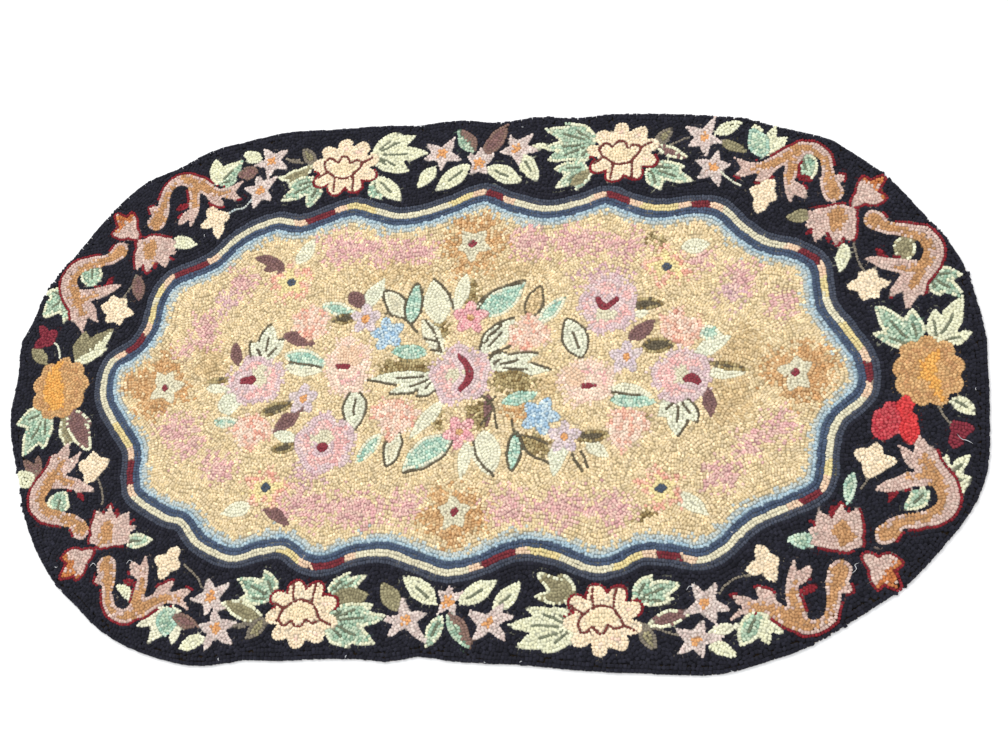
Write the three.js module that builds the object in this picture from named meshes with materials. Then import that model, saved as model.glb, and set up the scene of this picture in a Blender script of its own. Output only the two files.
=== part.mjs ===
// A hooked rug: wool loops drawn through a foundation cloth, cut as an uneven oval and
// laid flat. It is one piece, with its hem turned under, so it is one closed slab whose
// top is the tips of the loops. Millimetres, +Z up, the origin under the middle of the rug.
import * as THREE from 'three';

// Driving dimensions, in millimetres
const RUG_LENGTH = 1520;
const RUG_WIDTH = 886;
const RUG_THICKNESS = 8;
const EDGE_ROUND = 3.5;
const HEM_ROUND = 1.2;
const PILE_DIP = 0.8;

// How finely the slab is divided
const STEPS_AROUND = 168;
const STEPS_OF_ROUND = 3;
const RINGS_ON_TOP = [0.95, 0.86, 0.7, 0.48, 0.24];

// The slow waves in the pile's height, counted round the rug and from its middle out
const WAVES_AROUND = 5;
const WAVES_OUT = 2.5;

// The hand-cut edge, counter-clockwise from the right-hand end. x_mm runs along the
// length and y_mm along the width, both from the middle of the rug.
const EDGE_POINTS = [
  { x_mm: 758, y_mm: 2 },
  { x_mm: 757, y_mm: 50 },
  { x_mm: 747, y_mm: 99 },
  { x_mm: 734, y_mm: 150 },
  { x_mm: 706, y_mm: 202 },
  { x_mm: 677, y_mm: 240 },
  { x_mm: 644, y_mm: 284 },
  { x_mm: 614, y_mm: 316 },
  { x_mm: 578, y_mm: 345 },
  { x_mm: 548, y_mm: 369 },
  { x_mm: 505, y_mm: 385 },
  { x_mm: 458, y_mm: 400 },
  { x_mm: 420, y_mm: 415 },
  { x_mm: 374, y_mm: 422 },
  { x_mm: 314, y_mm: 430 },
  { x_mm: 260, y_mm: 434 },
  { x_mm: 205, y_mm: 437 },
  { x_mm: 150, y_mm: 434 },
  { x_mm: 90, y_mm: 441 },
  { x_mm: 27, y_mm: 434 },
  { x_mm: -30, y_mm: 442 },
  { x_mm: -72, y_mm: 442 },
  { x_mm: -103, y_mm: 437 },
  { x_mm: -160, y_mm: 441 },
  { x_mm: -240, y_mm: 440 },
  { x_mm: -339, y_mm: 440 },
  { x_mm: -408, y_mm: 427 },
  { x_mm: -447, y_mm: 420 },
  { x_mm: -487, y_mm: 405 },
  { x_mm: -525, y_mm: 383 },
  { x_mm: -577, y_mm: 363 },
  { x_mm: -620, y_mm: 325 },
  { x_mm: -653, y_mm: 285 },
  { x_mm: -682, y_mm: 242 },
  { x_mm: -711, y_mm: 204 },
  { x_mm: -737, y_mm: 156 },
  { x_mm: -747, y_mm: 115 },
  { x_mm: -762, y_mm: 76 },
  { x_mm: -757, y_mm: 20 },
  { x_mm: -759, y_mm: -44 },
  { x_mm: -748, y_mm: -94 },
  { x_mm: -724, y_mm: -157 },
  { x_mm: -704, y_mm: -215 },
  { x_mm: -676, y_mm: -266 },
  { x_mm: -632, y_mm: -322 },
  { x_mm: -592, y_mm: -355 },
  { x_mm: -546, y_mm: -392 },
  { x_mm: -488, y_mm: -420 },
  { x_mm: -436, y_mm: -435 },
  { x_mm: -385, y_mm: -443 },
  { x_mm: -339, y_mm: -439 },
  { x_mm: -300, y_mm: -432 },
  { x_mm: -261, y_mm: -433 },
  { x_mm: -198, y_mm: -429 },
  { x_mm: -137, y_mm: -427 },
  { x_mm: -78, y_mm: -430 },
  { x_mm: -45, y_mm: -422 },
  { x_mm: 20, y_mm: -428 },
  { x_mm: 110, y_mm: -430 },
  { x_mm: 200, y_mm: -436 },
  { x_mm: 300, y_mm: -438 },
  { x_mm: 392, y_mm: -436 },
  { x_mm: 453, y_mm: -418 },
  { x_mm: 502, y_mm: -400 },
  { x_mm: 550, y_mm: -372 },
  { x_mm: 600, y_mm: -339 },
  { x_mm: 645, y_mm: -306 },
  { x_mm: 690, y_mm: -256 },
  { x_mm: 732, y_mm: -200 },
  { x_mm: 751, y_mm: -150 },
  { x_mm: 757, y_mm: -75 },
];

// The smooth closed line through the edge points, scaled to the rug's length and width
function makeEdgeLine() {
  const points = EDGE_POINTS.map((p) => new THREE.Vector3(p.x_mm, p.y_mm, 0));
  const curve = new THREE.CatmullRomCurve3(points, true, 'centripetal');
  const line = curve.getSpacedPoints(STEPS_AROUND).slice(0, STEPS_AROUND);
  const box = new THREE.Box3().setFromPoints(line);
  const size = box.getSize(new THREE.Vector3());
  const middle = box.getCenter(new THREE.Vector3());
  const scale = new THREE.Vector3(RUG_LENGTH / size.x, RUG_WIDTH / size.y, 1);
  return line.map((p) => p.sub(middle).multiply(scale));
}

// The slab's section from the middle of its underside, out round the edge and back over
// the top. reach is the share of the way to the edge line, inset what is then taken off.
function makeSection() {
  const section = [{ reach: 0, inset: 0, height: 0 }];
  for (let i = 0; i <= STEPS_OF_ROUND; i += 1) {
    const turn = (Math.PI / 2) * (i / STEPS_OF_ROUND);
    const inset = HEM_ROUND * (1 - Math.sin(turn));
    section.push({ reach: 1, inset, height: HEM_ROUND * (1 - Math.cos(turn)) });
  }
  for (let i = 0; i <= STEPS_OF_ROUND; i += 1) {
    const turn = (Math.PI / 2) * (i / STEPS_OF_ROUND);
    const inset = EDGE_ROUND * (1 - Math.cos(turn));
    const height = RUG_THICKNESS - EDGE_ROUND * (1 - Math.sin(turn));
    section.push({ reach: 1, inset, height });
  }
  for (const reach of RINGS_ON_TOP) {
    section.push({ reach, inset: 0, height: RUG_THICKNESS });
  }
  section.push({ reach: 0, inset: 0, height: RUG_THICKNESS });
  return section;
}

// How far the pile dips below its full height: up to PILE_DIP half-way out, and nothing
// at the rug's middle and edge
function pileDip(reach, share) {
  const around = Math.sin(2 * Math.PI * WAVES_AROUND * share);
  const out = Math.sin(2 * Math.PI * WAVES_OUT * reach);
  return PILE_DIP * (1 - reach) * reach * 2 * (1 + around * out);
}

// Turns the section on a lathe and moves each turned point onto the uneven edge line
function makeSlabGeometry() {
  const edge = makeEdgeLine();
  const section = makeSection();
  const profile = section.map((s, i) => new THREE.Vector2(s.reach, i));
  const geometry = new THREE.LatheGeometry(profile, STEPS_AROUND);
  const position = geometry.attributes.position;
  for (let column = 0; column <= STEPS_AROUND; column += 1) {
    const step = column % STEPS_AROUND;
    const onEdge = edge[step];
    for (let row = 0; row < section.length; row += 1) {
      const { reach, inset, height } = section[row];
      const out = onEdge.clone().multiplyScalar(reach);
      out.addScaledVector(onEdge, -inset / onEdge.length());
      const dip = height === RUG_THICKNESS ? pileDip(reach, step / STEPS_AROUND) : 0;
      position.setXYZ(column * section.length + row, out.x, out.y, height - dip);
    }
  }
  geometry.computeVertexNormals();
  return geometry;
}

const wool = new THREE.MeshStandardMaterial({ color: 0x2a2a33, roughness: 0.95, metalness: 0 });

const rug = new THREE.Mesh(makeSlabGeometry(), wool);
rug.name = 'hooked_rug';

const model = new THREE.Group();
model.add(rug);

export default model;
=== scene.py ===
"""The looks of an oval hand-hooked wool rug that lies flat on the floor, pile up.

The pattern is drawn in millimetres on a plan of the rug, seen from above: patches of wool for the dark
ground, the scalloped ribbon, the border's flowers, leaves and scrolls, the tan field and its bouquet. The
plan is then hooked as such a rug is made, in rows that follow the edges of each patch, and every loop is a
small closed arch of yarn drawn up through the foundation cloth.
"""

import logging
import math
from collections.abc import Sequence
from dataclasses import dataclass
from enum import Enum
from typing import Protocol

import bpy
import numpy as np
from mathutils import Matrix


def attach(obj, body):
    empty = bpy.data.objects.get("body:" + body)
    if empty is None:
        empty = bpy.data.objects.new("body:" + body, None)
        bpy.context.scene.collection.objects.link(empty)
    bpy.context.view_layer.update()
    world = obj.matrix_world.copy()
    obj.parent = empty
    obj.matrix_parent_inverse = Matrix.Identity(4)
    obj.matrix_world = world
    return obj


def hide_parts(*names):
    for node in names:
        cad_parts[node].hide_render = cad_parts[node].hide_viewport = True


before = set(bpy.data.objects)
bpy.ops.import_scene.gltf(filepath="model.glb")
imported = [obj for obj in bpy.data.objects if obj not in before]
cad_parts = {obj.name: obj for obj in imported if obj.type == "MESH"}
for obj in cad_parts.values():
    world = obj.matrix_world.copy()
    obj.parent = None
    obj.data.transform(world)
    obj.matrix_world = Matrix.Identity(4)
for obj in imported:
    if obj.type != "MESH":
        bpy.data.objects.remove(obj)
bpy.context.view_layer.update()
LOG = logging.getLogger("hooked_rug")

# Millimetres in the plan, metres in Blender
MM = 0.001
NODE = "hooked_rug"

# The plan has one square for each millimetre
PLAN_LEFT = -770
PLAN_LOW = -452
PLAN_WIDE = 1541
PLAN_HIGH = 905
PATTERN_SHIFT = (2.0, 0.5)

# How far apart the rows and the loops in a row are
ROW_PITCH = 5.1
LOOP_PITCH = 4.4
GROUND_ROW_PITCH = 5.7
GROUND_LOOP_PITCH = 5.9
LINE_PITCH = 3.5
FRAYED = 1.5
RED_PITCH = 4.2
RIM = 4.2

# How close loops may stand, in pitches, and how wide a hole is before it is filled, in two rounds
ROOM_SHARE = 0.37
TIGHTER = 0.84
HOLE_SHARES = (0.86, 0.8)
FARTHEST = 80

# Heights above the floor
PILE_TOP = 7.7
LOOP_FOOT = 0.3
HIDDEN_FOOT = 0.9
CLOTH_LOW = 0.55
CLOTH_TOP = 1.5
HEM_WIDTH = 28.0
WALL_FOOT = 1.2
FOOT_STEP, FOOT_STEPS = 0.02, 7

# How far from the rug's edge the feet stay hidden, and where the field starts beside the ribbon's middle
HIDDEN_REACH = 11.5
RIBBON_INNER = 28.4

MOST_LOOPS_IN_A_PIECE = 9800

Point = tuple[float, float]
Tip = tuple[float, float, float]
Point3 = tuple[float, float, float]


@dataclass(frozen=True)
class Dye:
    """A dyed wool: its colour, the shade that it is mixed with, both 0 to 255, and how unevenly it took."""

    colour: tuple[int, int, int]
    shade: tuple[int, int, int]
    uneven: float = 0.07


class Yarn(Enum):
    """The wools of the rug, as they look in daylight."""

    COAL = Dye((30, 30, 38), (40, 40, 50), 0.12)
    SLATE = Dye((66, 72, 86), (80, 84, 96), 0.09)
    CREAM = Dye((228, 222, 194), (218, 210, 182))
    BUTTER = Dye((230, 216, 160), (222, 202, 146))
    PEACH = Dye((234, 208, 180), (230, 196, 166))
    BURGUNDY = Dye((128, 54, 60), (114, 46, 54), 0.1)
    NAVY = Dye((70, 82, 104), (82, 96, 118), 0.1)
    SKY = Dye((158, 184, 198), (184, 202, 208), 0.08)
    ICE = Dye((200, 202, 190), (184, 198, 200), 0.07)
    CAMEL = Dye((218, 196, 152), (238, 218, 180), 0.13)
    FAWN = Dye((204, 178, 132), (226, 202, 160), 0.13)
    CLOUD_PINK = Dye((218, 168, 168), (230, 200, 182), 0.1)
    CLOUD_MAUVE = Dye((208, 168, 176), (224, 196, 180), 0.1)
    GOLD = Dye((198, 150, 100), (218, 184, 138), 0.12)
    IVORY = Dye((234, 234, 206), (226, 224, 190))
    CHALK = Dye((238, 236, 212), (220, 222, 198), 0.09)
    MINT = Dye((148, 180, 156), (206, 216, 190), 0.12)
    OLIVE = Dye((164, 156, 122), (140, 132, 102), 0.1)
    VEIN = Dye((112, 118, 98), (130, 134, 110))
    DRAB = Dye((126, 118, 106), (138, 128, 112))
    BROWN = Dye((144, 116, 102), (132, 106, 98))
    PLUM = Dye((142, 108, 102), (124, 94, 94))
    STAR = Dye((228, 214, 204), (206, 186, 178), 0.09)
    AMBER = Dye((220, 158, 100), (228, 172, 116))
    BLUSH = Dye((222, 198, 184), (200, 170, 158), 0.09)
    TAN = Dye((204, 158, 112), (186, 140, 96), 0.1)
    RED = Dye((142, 42, 50), (122, 38, 46), 0.12)
    ROSE_CREAM = Dye((246, 230, 202), (240, 218, 184))
    ROSE_HEART = Dye((244, 228, 192), (238, 218, 182))
    RUST = Dye((126, 66, 58), (112, 58, 54))
    ORANGE = Dye((218, 178, 126), (198, 152, 102), 0.1)
    BRIGHT_AMBER = Dye((238, 184, 102), (224, 162, 84))
    SCARLET = Dye((208, 58, 62), (220, 78, 78), 0.09)
    CRIMSON = Dye((186, 56, 68), (206, 94, 98), 0.09)
    WINE = Dye((126, 44, 58), (140, 58, 68))
    MAUVE = Dye((228, 208, 202), (212, 184, 188), 0.09)
    BLOOM_PINK = Dye((228, 172, 168), (242, 212, 200), 0.09)
    HEART = Dye((136, 56, 66), (150, 70, 78))
    HOT_PINK = Dye((228, 158, 166), (240, 200, 192), 0.09)
    SPRIG_BLUE = Dye((154, 188, 214), (216, 226, 222), 0.08)
    LILAC = Dye((230, 214, 206), (208, 192, 200), 0.09)
    CORAL = Dye((228, 164, 144), (242, 212, 186), 0.09)
    SHELL = Dye((244, 226, 204), (234, 200, 182), 0.09)
    SAGE = Dye((154, 194, 176), (216, 228, 206), 0.1)
    PALE_LEAF = Dye((238, 234, 208), (228, 226, 200))
    MOSS = Dye((132, 110, 70), (196, 180, 134), 0.13)
    COPPER = Dye((206, 138, 84), (184, 108, 64), 0.1)
    DARK_LINE = Dye((112, 102, 82), (98, 90, 74))
    YELLOW = Dye((240, 224, 168), (232, 212, 158))
    INK = Dye((74, 84, 100), (84, 92, 106))


Y = Yarn
YARNS = tuple(Yarn)
CODE = {yarn: number for number, yarn in enumerate(YARNS)}


class Piece(Enum):
    """The joined meshes of loops, by what they show."""

    GROUND = "ground_loops"
    RIBBON = "ribbon_loops"
    FIELD = "field_loops"
    BORDER_FLOWERS = "border_flower_loops"
    BORDER_LEAVES = "border_leaf_loops"
    BOUQUET = "bouquet_loops"


PIECES = tuple(Piece)


@dataclass(frozen=True)
class Fill:
    """What a patch is hooked with.

    rows names each row's wool, from the edge in; the last fills the rest. soft is how far off, in
    millimetres, a loop may take its colour. Patches that are both softer than FRAYED also mix along the
    edge between them.
    """

    rows: tuple[Yarn, ...]
    piece: Piece
    soft: float = 0.6
    row_pitch: float = ROW_PITCH
    loop_pitch: float = LOOP_PITCH
    swirl: float = 0.0


class Shape(Protocol):
    """A drawn shape on the plan."""

    def reach(self) -> tuple[float, float, float, float]:
        """The lowest x and y and the highest x and y."""

    def depth(self, x: np.ndarray, y: np.ndarray) -> np.ndarray:
        """About how far each point is inside the shape, below 0 outside it."""


@dataclass(frozen=True)
class Blade:
    """A pointed lobe from its foot to its tip, bowed sideways by a share of its length.

    side 1 or -1 keeps only the half to the left or the right of the vein.
    """

    foot: Point
    tip: Point
    width: float
    bow: float = 0.0
    full: float = 0.45
    side: int = 0

    def reach(self) -> tuple[float, float, float, float]:
        """The foot and tip's box, grown by the width and the bow."""
        far = self.width + abs(self.bow) * math.dist(self.foot, self.tip)
        xs = (self.foot[0], self.tip[0])
        ys = (self.foot[1], self.tip[1])
        return min(xs) - far, min(ys) - far, max(xs) + far, max(ys) + far

    def depth(self, x: np.ndarray, y: np.ndarray) -> np.ndarray:
        """How far each point is inside the lobe.

        At the share s of the way to the tip, the half width is width / 2 times sin(pi s^q) to the power
        0.8, with q such that it is greatest at s = full, and the mid-line stands off by 4 bow s (1 - s)
        lengths.

        Args:
            x: the points' x.
            y: the points' y.

        Returns:
            The half width less the distance from the mid-line.
        """
        dx, dy = self.tip[0] - self.foot[0], self.tip[1] - self.foot[1]
        length = math.hypot(dx, dy)
        ux, uy = dx / length, dy / length
        s = ((x - self.foot[0]) * ux + (y - self.foot[1]) * uy) / length
        off = -(x - self.foot[0]) * uy + (y - self.foot[1]) * ux
        share = np.clip(s, 0, 1)
        off = off - self.bow * length * 4 * share * (1 - share)
        power = math.log(0.5) / math.log(self.full)
        half = self.width / 2 * np.sin(np.pi * share**power).clip(0, 1) ** 0.8
        past = np.abs(s - share) * length
        inside = half - np.hypot(off, past) - 0.5 * past
        return np.minimum(inside, off * self.side) if self.side else inside


@dataclass(frozen=True)
class Rosette:
    """A round or oval flower with petals: notch is how deep its edge is cut, and roundness above 1 rounds
    them.
    """

    x: float
    y: float
    wide: float
    high: float
    petals: int = 8
    notch: float = 0.14
    roundness: float = 2.4
    turn: float = 0.0

    def reach(self) -> tuple[float, float, float, float]:
        """The box of its greatest width and height."""
        return self.x - self.wide, self.y - self.high, self.x + self.wide, self.y + self.high

    def depth(self, x: np.ndarray, y: np.ndarray) -> np.ndarray:
        """How far each point is inside the flower.

        With a from 0 in the middle of a petal to 1 at a notch, the edge is 1 - notch a^roundness of the way
        out.

        Args:
            x: the points' x.
            y: the points' y.

        Returns:
            The edge's radius less the point's.
        """
        across = (x - self.x) / self.wide
        up = (y - self.y) / self.high
        angle = np.arctan2(up, across) - self.turn
        a = np.abs((self.petals * angle / (2 * np.pi) + 0.5) % 1.0 - 0.5) * 2
        edge = 1 - self.notch * a**self.roundness
        return (edge - np.hypot(across, up)) * min(self.wide, self.high)


@dataclass(frozen=True)
class Trail:
    """A band that runs through points with a width at each, on a smooth line."""

    points: tuple[Tip, ...]

    def line(self) -> np.ndarray:
        """The band's mid-line and width, about every 2 mm, on a Catmull-Rom spline."""
        return spline(np.array(self.points, float), 2.0)

    def reach(self) -> tuple[float, float, float, float]:
        """The points' box, grown by the greatest width."""
        p = np.array(self.points, float)
        far = p[:, 2].max()
        low, high = p[:, :2].min(0) - far, p[:, :2].max(0) + far
        return low[0], low[1], high[0], high[1]

    def depth(self, x: np.ndarray, y: np.ndarray) -> np.ndarray:
        """How far each point is inside the band: the greatest, over the mid-line, of half the width less
        the distance.
        """
        best = np.full(x.shape, -1e3)
        for cx, cy, width in self.line():
            best = np.maximum(best, width / 2 - np.hypot(x - cx, y - cy))
        return best


@dataclass(frozen=True)
class Cluster:
    """Several shapes that are hooked as one patch."""

    parts: tuple[Shape, ...]

    def reach(self) -> tuple[float, float, float, float]:
        """The box around all the parts."""
        boxes = np.array([part.reach() for part in self.parts])
        low, high = boxes[:, :2].min(0), boxes[:, 2:].max(0)
        return low[0], low[1], high[0], high[1]

    def depth(self, x: np.ndarray, y: np.ndarray) -> np.ndarray:
        """The deepest that each point is in any of the parts."""
        return np.max([part.depth(x, y) for part in self.parts], axis=0)


def spline(points: np.ndarray, step: float, closed: bool = False) -> np.ndarray:
    """Runs a Catmull-Rom spline through points: its slope at each is half its neighbours' difference.

    Args:
        points: one row for each point, x and y first.
        step: about how far apart the returned rows are.
        closed: whether the line comes back to its first point.

    Returns:
        The rows along the line.
    """
    if closed:
        p = np.vstack([points[-1], points, points[0], points[1]])
    else:
        p = np.vstack([2 * points[0] - points[1], points, 2 * points[-1] - points[-2]])
    spans = []
    for a, b, c, d in zip(p[:-3], p[1:-2], p[2:-1], p[3:]):
        count = max(1, round(math.dist(b[:2], c[:2]) / step))
        t = (np.arange(count) / count)[:, None]
        cubic = 2 * b + (c - a) * t + (2 * a - 5 * b + 4 * c - d) * t**2 + (3 * b - a - 3 * c + d) * t**3
        spans.append(cubic / 2)
    if not closed:
        spans.append(points[-1:])
    return np.vstack(spans)


def drift(x: np.ndarray, y: np.ndarray, cell: float, seed: int) -> np.ndarray:
    """Gives a slow random drift over the plan.

    The corners of a net of squares have random values from -1 to 1, blended inside a square by 3 t^2 - 2
    t^3.

    Args:
        x: the points' x.
        y: the points' y.
        cell: the side of the net's squares.
        seed: picks the random values.

    Returns:
        The drift at each point.
    """
    size = 128
    net = np.random.default_rng(seed).uniform(-1, 1, (size, size))
    gx, gy = x / cell + 40.37, y / cell + 40.71
    column, row = np.floor(gx).astype(int), np.floor(gy).astype(int)
    tx, ty = gx - column, gy - row
    tx, ty = tx * tx * (3 - 2 * tx), ty * ty * (3 - 2 * ty)
    c0, c1, r0, r1 = column % size, (column + 1) % size, row % size, (row + 1) % size
    low = net[r0, c0] * (1 - tx) + net[r0, c1] * tx
    high = net[r1, c0] * (1 - tx) + net[r1, c1] * tx
    return low * (1 - ty) + high * ty


@dataclass
class Lines:
    """Loops along lines: where each is, which way its line runs, its row number and its label on the plan.
    """

    x: np.ndarray
    y: np.ndarray
    angle: np.ndarray
    level: np.ndarray
    label: np.ndarray

    def kept(self, keep: np.ndarray) -> "Lines":
        """The same lines with only the loops that keep names."""
        return Lines(self.x[keep], self.y[keep], self.angle[keep], self.level[keep], self.label[keep])


def joined(parts: Sequence[Lines]) -> Lines:
    """All the loops of several sets, one set after the other."""
    names = ("x", "y", "angle", "level", "label")
    return Lines(*(np.concatenate([getattr(part, name) for part in parts]) for name in names))


def walk_levels(values: np.ndarray, usable: np.ndarray, labels: np.ndarray, pitch: np.ndarray) -> Lines:
    """Strings loops along the lines on which the values pass a whole number.

    Each square of four neighbours that a level crosses holds one piece of line, from where the values fall
    to where they rise. Pieces that share a side follow each other, and the length gone is summed by
    doubling the stride back along the line. Each line then gets a whole number of loops, evenly spaced.

    Args:
        values: the field whose whole numbers are the rows.
        usable: which squares may hold a line, one less each way than values.
        labels: each square's label.
        pitch: the distance between loops for each label.

    Returns:
        The loops, with x and y counted in squares from the first.
    """
    high, wide = values.shape
    corners = np.stack([values[:-1, :-1], values[:-1, 1:], values[1:, 1:], values[1:, :-1]])
    level = np.ceil(corners.min(0))
    rows, columns = np.nonzero(usable & (level <= corners.max(0)) & (corners.max(0) > corners.min(0)))
    level = level[rows, columns]
    height = corners[:, rows, columns] - level
    above = height >= 0
    corner_x, corner_y = (0, 1, 1, 0), (0, 0, 1, 1)
    squares = high * wide
    sides = (rows * wide + columns, squares + rows * wide + columns + 1, (rows + 1) * wide + columns,
        squares + rows * wide + columns)
    falls = np.stack([above[k] & ~above[(k + 1) % 4] for k in range(4)])
    rises = np.stack([~above[k] & above[(k + 1) % 4] for k in range(4)])
    cross_x, cross_y = [], []
    for k in range(4):
        n = (k + 1) % 4
        gap = height[k] - height[n]
        t = np.clip(height[k] / np.where(gap == 0, 1, gap), 0, 1)
        cross_x.append(columns + corner_x[k] + t * (corner_x[n] - corner_x[k]))
        cross_y.append(rows + corner_y[k] + t * (corner_y[n] - corner_y[k]))
    cross_x, cross_y, sides = np.stack(cross_x), np.stack(cross_y), np.stack(sides)
    first, last, square = [], [], []
    for k in range(4):
        here = np.nonzero(falls[k])[0]
        end = np.where(rises[(k + 1) % 4][here], (k + 1) % 4, np.where(rises[(k + 2) % 4][here],
            (k + 2) % 4, (k + 3) % 4))
        first.append(np.full(len(here), k))
        last.append(end)
        square.append(here)
    first, last, square = np.concatenate(first), np.concatenate(last), np.concatenate(square)
    count = len(first)
    if count == 0:
        none = np.zeros(0)
        return Lines(none, none, none, none, none.astype(int))
    x0, y0 = cross_x[first, square], cross_y[first, square]
    x1, y1 = cross_x[last, square], cross_y[last, square]
    begins = np.full(2 * squares, -1, np.int32)
    begins[sides[first, square]] = np.arange(count)
    after = begins[sides[last, square]]
    before = np.full(count, -1)
    before[after[after >= 0]] = np.nonzero(after >= 0)[0]
    strides = 14
    index = np.arange(count)
    jump = np.where(before >= 0, before, index)
    least = np.minimum(index, jump)
    for _ in range(strides):
        least = np.minimum(least, least[jump])
        jump = jump[jump]
    before[(before[jump] >= 0) & (least == index)] = -1
    step = np.hypot(x1 - x0, y1 - y0)
    gone = np.where(before >= 0, step[before], 0.0)
    jump = np.where(before >= 0, before, index)
    for _ in range(strides):
        gone = gone + gone[jump]
        jump = jump[jump]
    order = np.lexsort((gone, jump))
    x0, y0, x1, y1, step, gone, square = (v[order] for v in (x0, y0, x1, y1, step, gone, square))
    start = np.nonzero(np.diff(jump[order], prepend=-1) != 0)[0]
    finish = np.append(start[1:], count) - 1
    total = gone[finish] + step[finish]
    label = labels[rows[square[start]], columns[square[start]]]
    loops = np.round(total / pitch[label]).astype(int)
    loops = np.where((loops == 0) & (total > 0.5 * pitch[label]), 1, loops)
    base = np.cumsum(total) - total
    line = np.repeat(np.arange(len(start)), np.diff(np.append(start, count)))
    along = base[line] + gone
    line = np.repeat(np.arange(len(start)), loops)
    turn = np.arange(len(line)) - np.repeat(np.cumsum(loops) - loops, loops)
    middle = base[line] + (turn + 0.5) / loops[line] * total[line]

    def place(s: np.ndarray) -> tuple[np.ndarray, np.ndarray]:
        """The point that is s along all the lines laid end to end."""
        i = np.searchsorted(along, s, side="right") - 1
        t = np.clip((s - along[i]) / np.maximum(step[i], 1e-6), 0, 1)
        return x0[i] + t * (x1[i] - x0[i]), y0[i] + t * (y1[i] - y0[i])

    reach = 2.0
    low, top = base[line] + 1e-6, base[line] + total[line] - 1e-6
    back_x, back_y = place(np.clip(middle - reach, low, top))
    on_x, on_y = place(np.clip(middle + reach, low, top))
    x, y = place(middle)
    angle = np.arctan2(on_y - back_y, on_x - back_x)
    return Lines(x, y, angle, level[square[start]][line], label[line])


def edge_distance(owner: np.ndarray, reach: int) -> np.ndarray:
    """Measures how far each square is from the edge of its own patch.

    It is the least, over the rows up to reach away, of the root of the squared distance to the patch's edge
    along that row plus the squared row difference, and of the straight way to another patch above or below.

    Args:
        owner: each square's label.
        reach: the greatest distance looked for, in squares.

    Returns:
        The distances in squares, at most reach.
    """
    high, wide = owner.shape
    column = np.arange(wide, dtype=np.float32)
    new = np.ones((high, wide + 1), bool)
    new[:, 1:-1] = owner[:, 1:] != owner[:, :-1]
    new[:, [0, -1]] = False
    first = np.maximum.accumulate(np.where(new[:, :-1], column, -reach), axis=1)
    last = np.minimum.accumulate(np.where(new[:, 1:], column, wide + reach)[:, ::-1], axis=1)[:, ::-1]
    side = np.minimum(np.minimum(column - first, last - column) + 0.5, reach).astype(np.float32) ** 2
    best = side.copy()
    for k in range(1, reach + 1):
        same = owner[k:] == owner[:-k]
        straight = np.float32((k - 0.5) ** 2)
        below = np.where(same, side[:-k] + np.float32(k * k), straight)
        above = np.where(same, side[k:] + np.float32(k * k), straight)
        np.minimum(best[k:], below, out=best[k:])
        np.minimum(best[:-k], above, out=best[:-k])
    return np.minimum(np.sqrt(best), reach)


def near_pairs(x: np.ndarray, y: np.ndarray, radius: float) -> tuple[np.ndarray, np.ndarray]:
    """Finds all pairs of points closer together than the radius.

    The points are sorted into squares of that side, and each is set against its own square and four
    neighbours.

    Args:
        x: the points' x.
        y: the points' y.
        radius: the greatest distance.

    Returns:
        The two points of each pair, as numbers into x.
    """
    across = 4096
    key = np.floor(y / radius).astype(np.int64) * across + np.floor(x / radius).astype(np.int64)
    key -= key.min() - 2 * across
    order = np.argsort(key, kind="stable")
    found = key[order]
    ones, others = [], []
    for offset in (0, 1, across - 1, across, across + 1):
        low = np.searchsorted(found, found + offset, side="left")
        top = np.searchsorted(found, found + offset, side="right")
        if offset == 0:
            low = np.arange(len(found)) + 1
        for m in range(int((top - low).max(initial=0))):
            here = np.nonzero(low + m < top)[0]
            there = low[here] + m
            a, b = order[here], order[there]
            close = (x[a] - x[b]) ** 2 + (y[a] - y[b]) ** 2 < radius * radius
            ones.append(a[close])
            others.append(b[close])
    return np.concatenate(ones), np.concatenate(others)


def spaced(x: np.ndarray, y: np.ndarray, rank: np.ndarray, room: np.ndarray) -> np.ndarray:
    """Picks points that keep their distance: round by round, one stays if it outranks its near neighbours.

    Args:
        x: the points' x.
        y: the points' y.
        rank: the order of preference, the lowest first.
        room: the distance that each point keeps.

    Returns:
        Which points stay.
    """
    a, b = near_pairs(x, y, float(room.max()))
    close = np.hypot(x[a] - x[b], y[a] - y[b]) < np.minimum(room[a], room[b])
    a, b = a[close], b[close]
    stays = np.zeros(len(x), bool)
    open_ = np.ones(len(x), bool)
    while open_.any():
        live = open_[a] & open_[b]
        a, b = a[live], b[live]
        beaten = np.zeros(len(x), bool)
        first = rank[a] <= rank[b]
        beaten[b[first]] = True
        beaten[a[~first]] = True
        won = open_ & ~beaten
        stays |= won
        open_ &= ~won
        open_[b[won[a]]] = False
        open_[a[won[b]]] = False
    return stays


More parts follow.
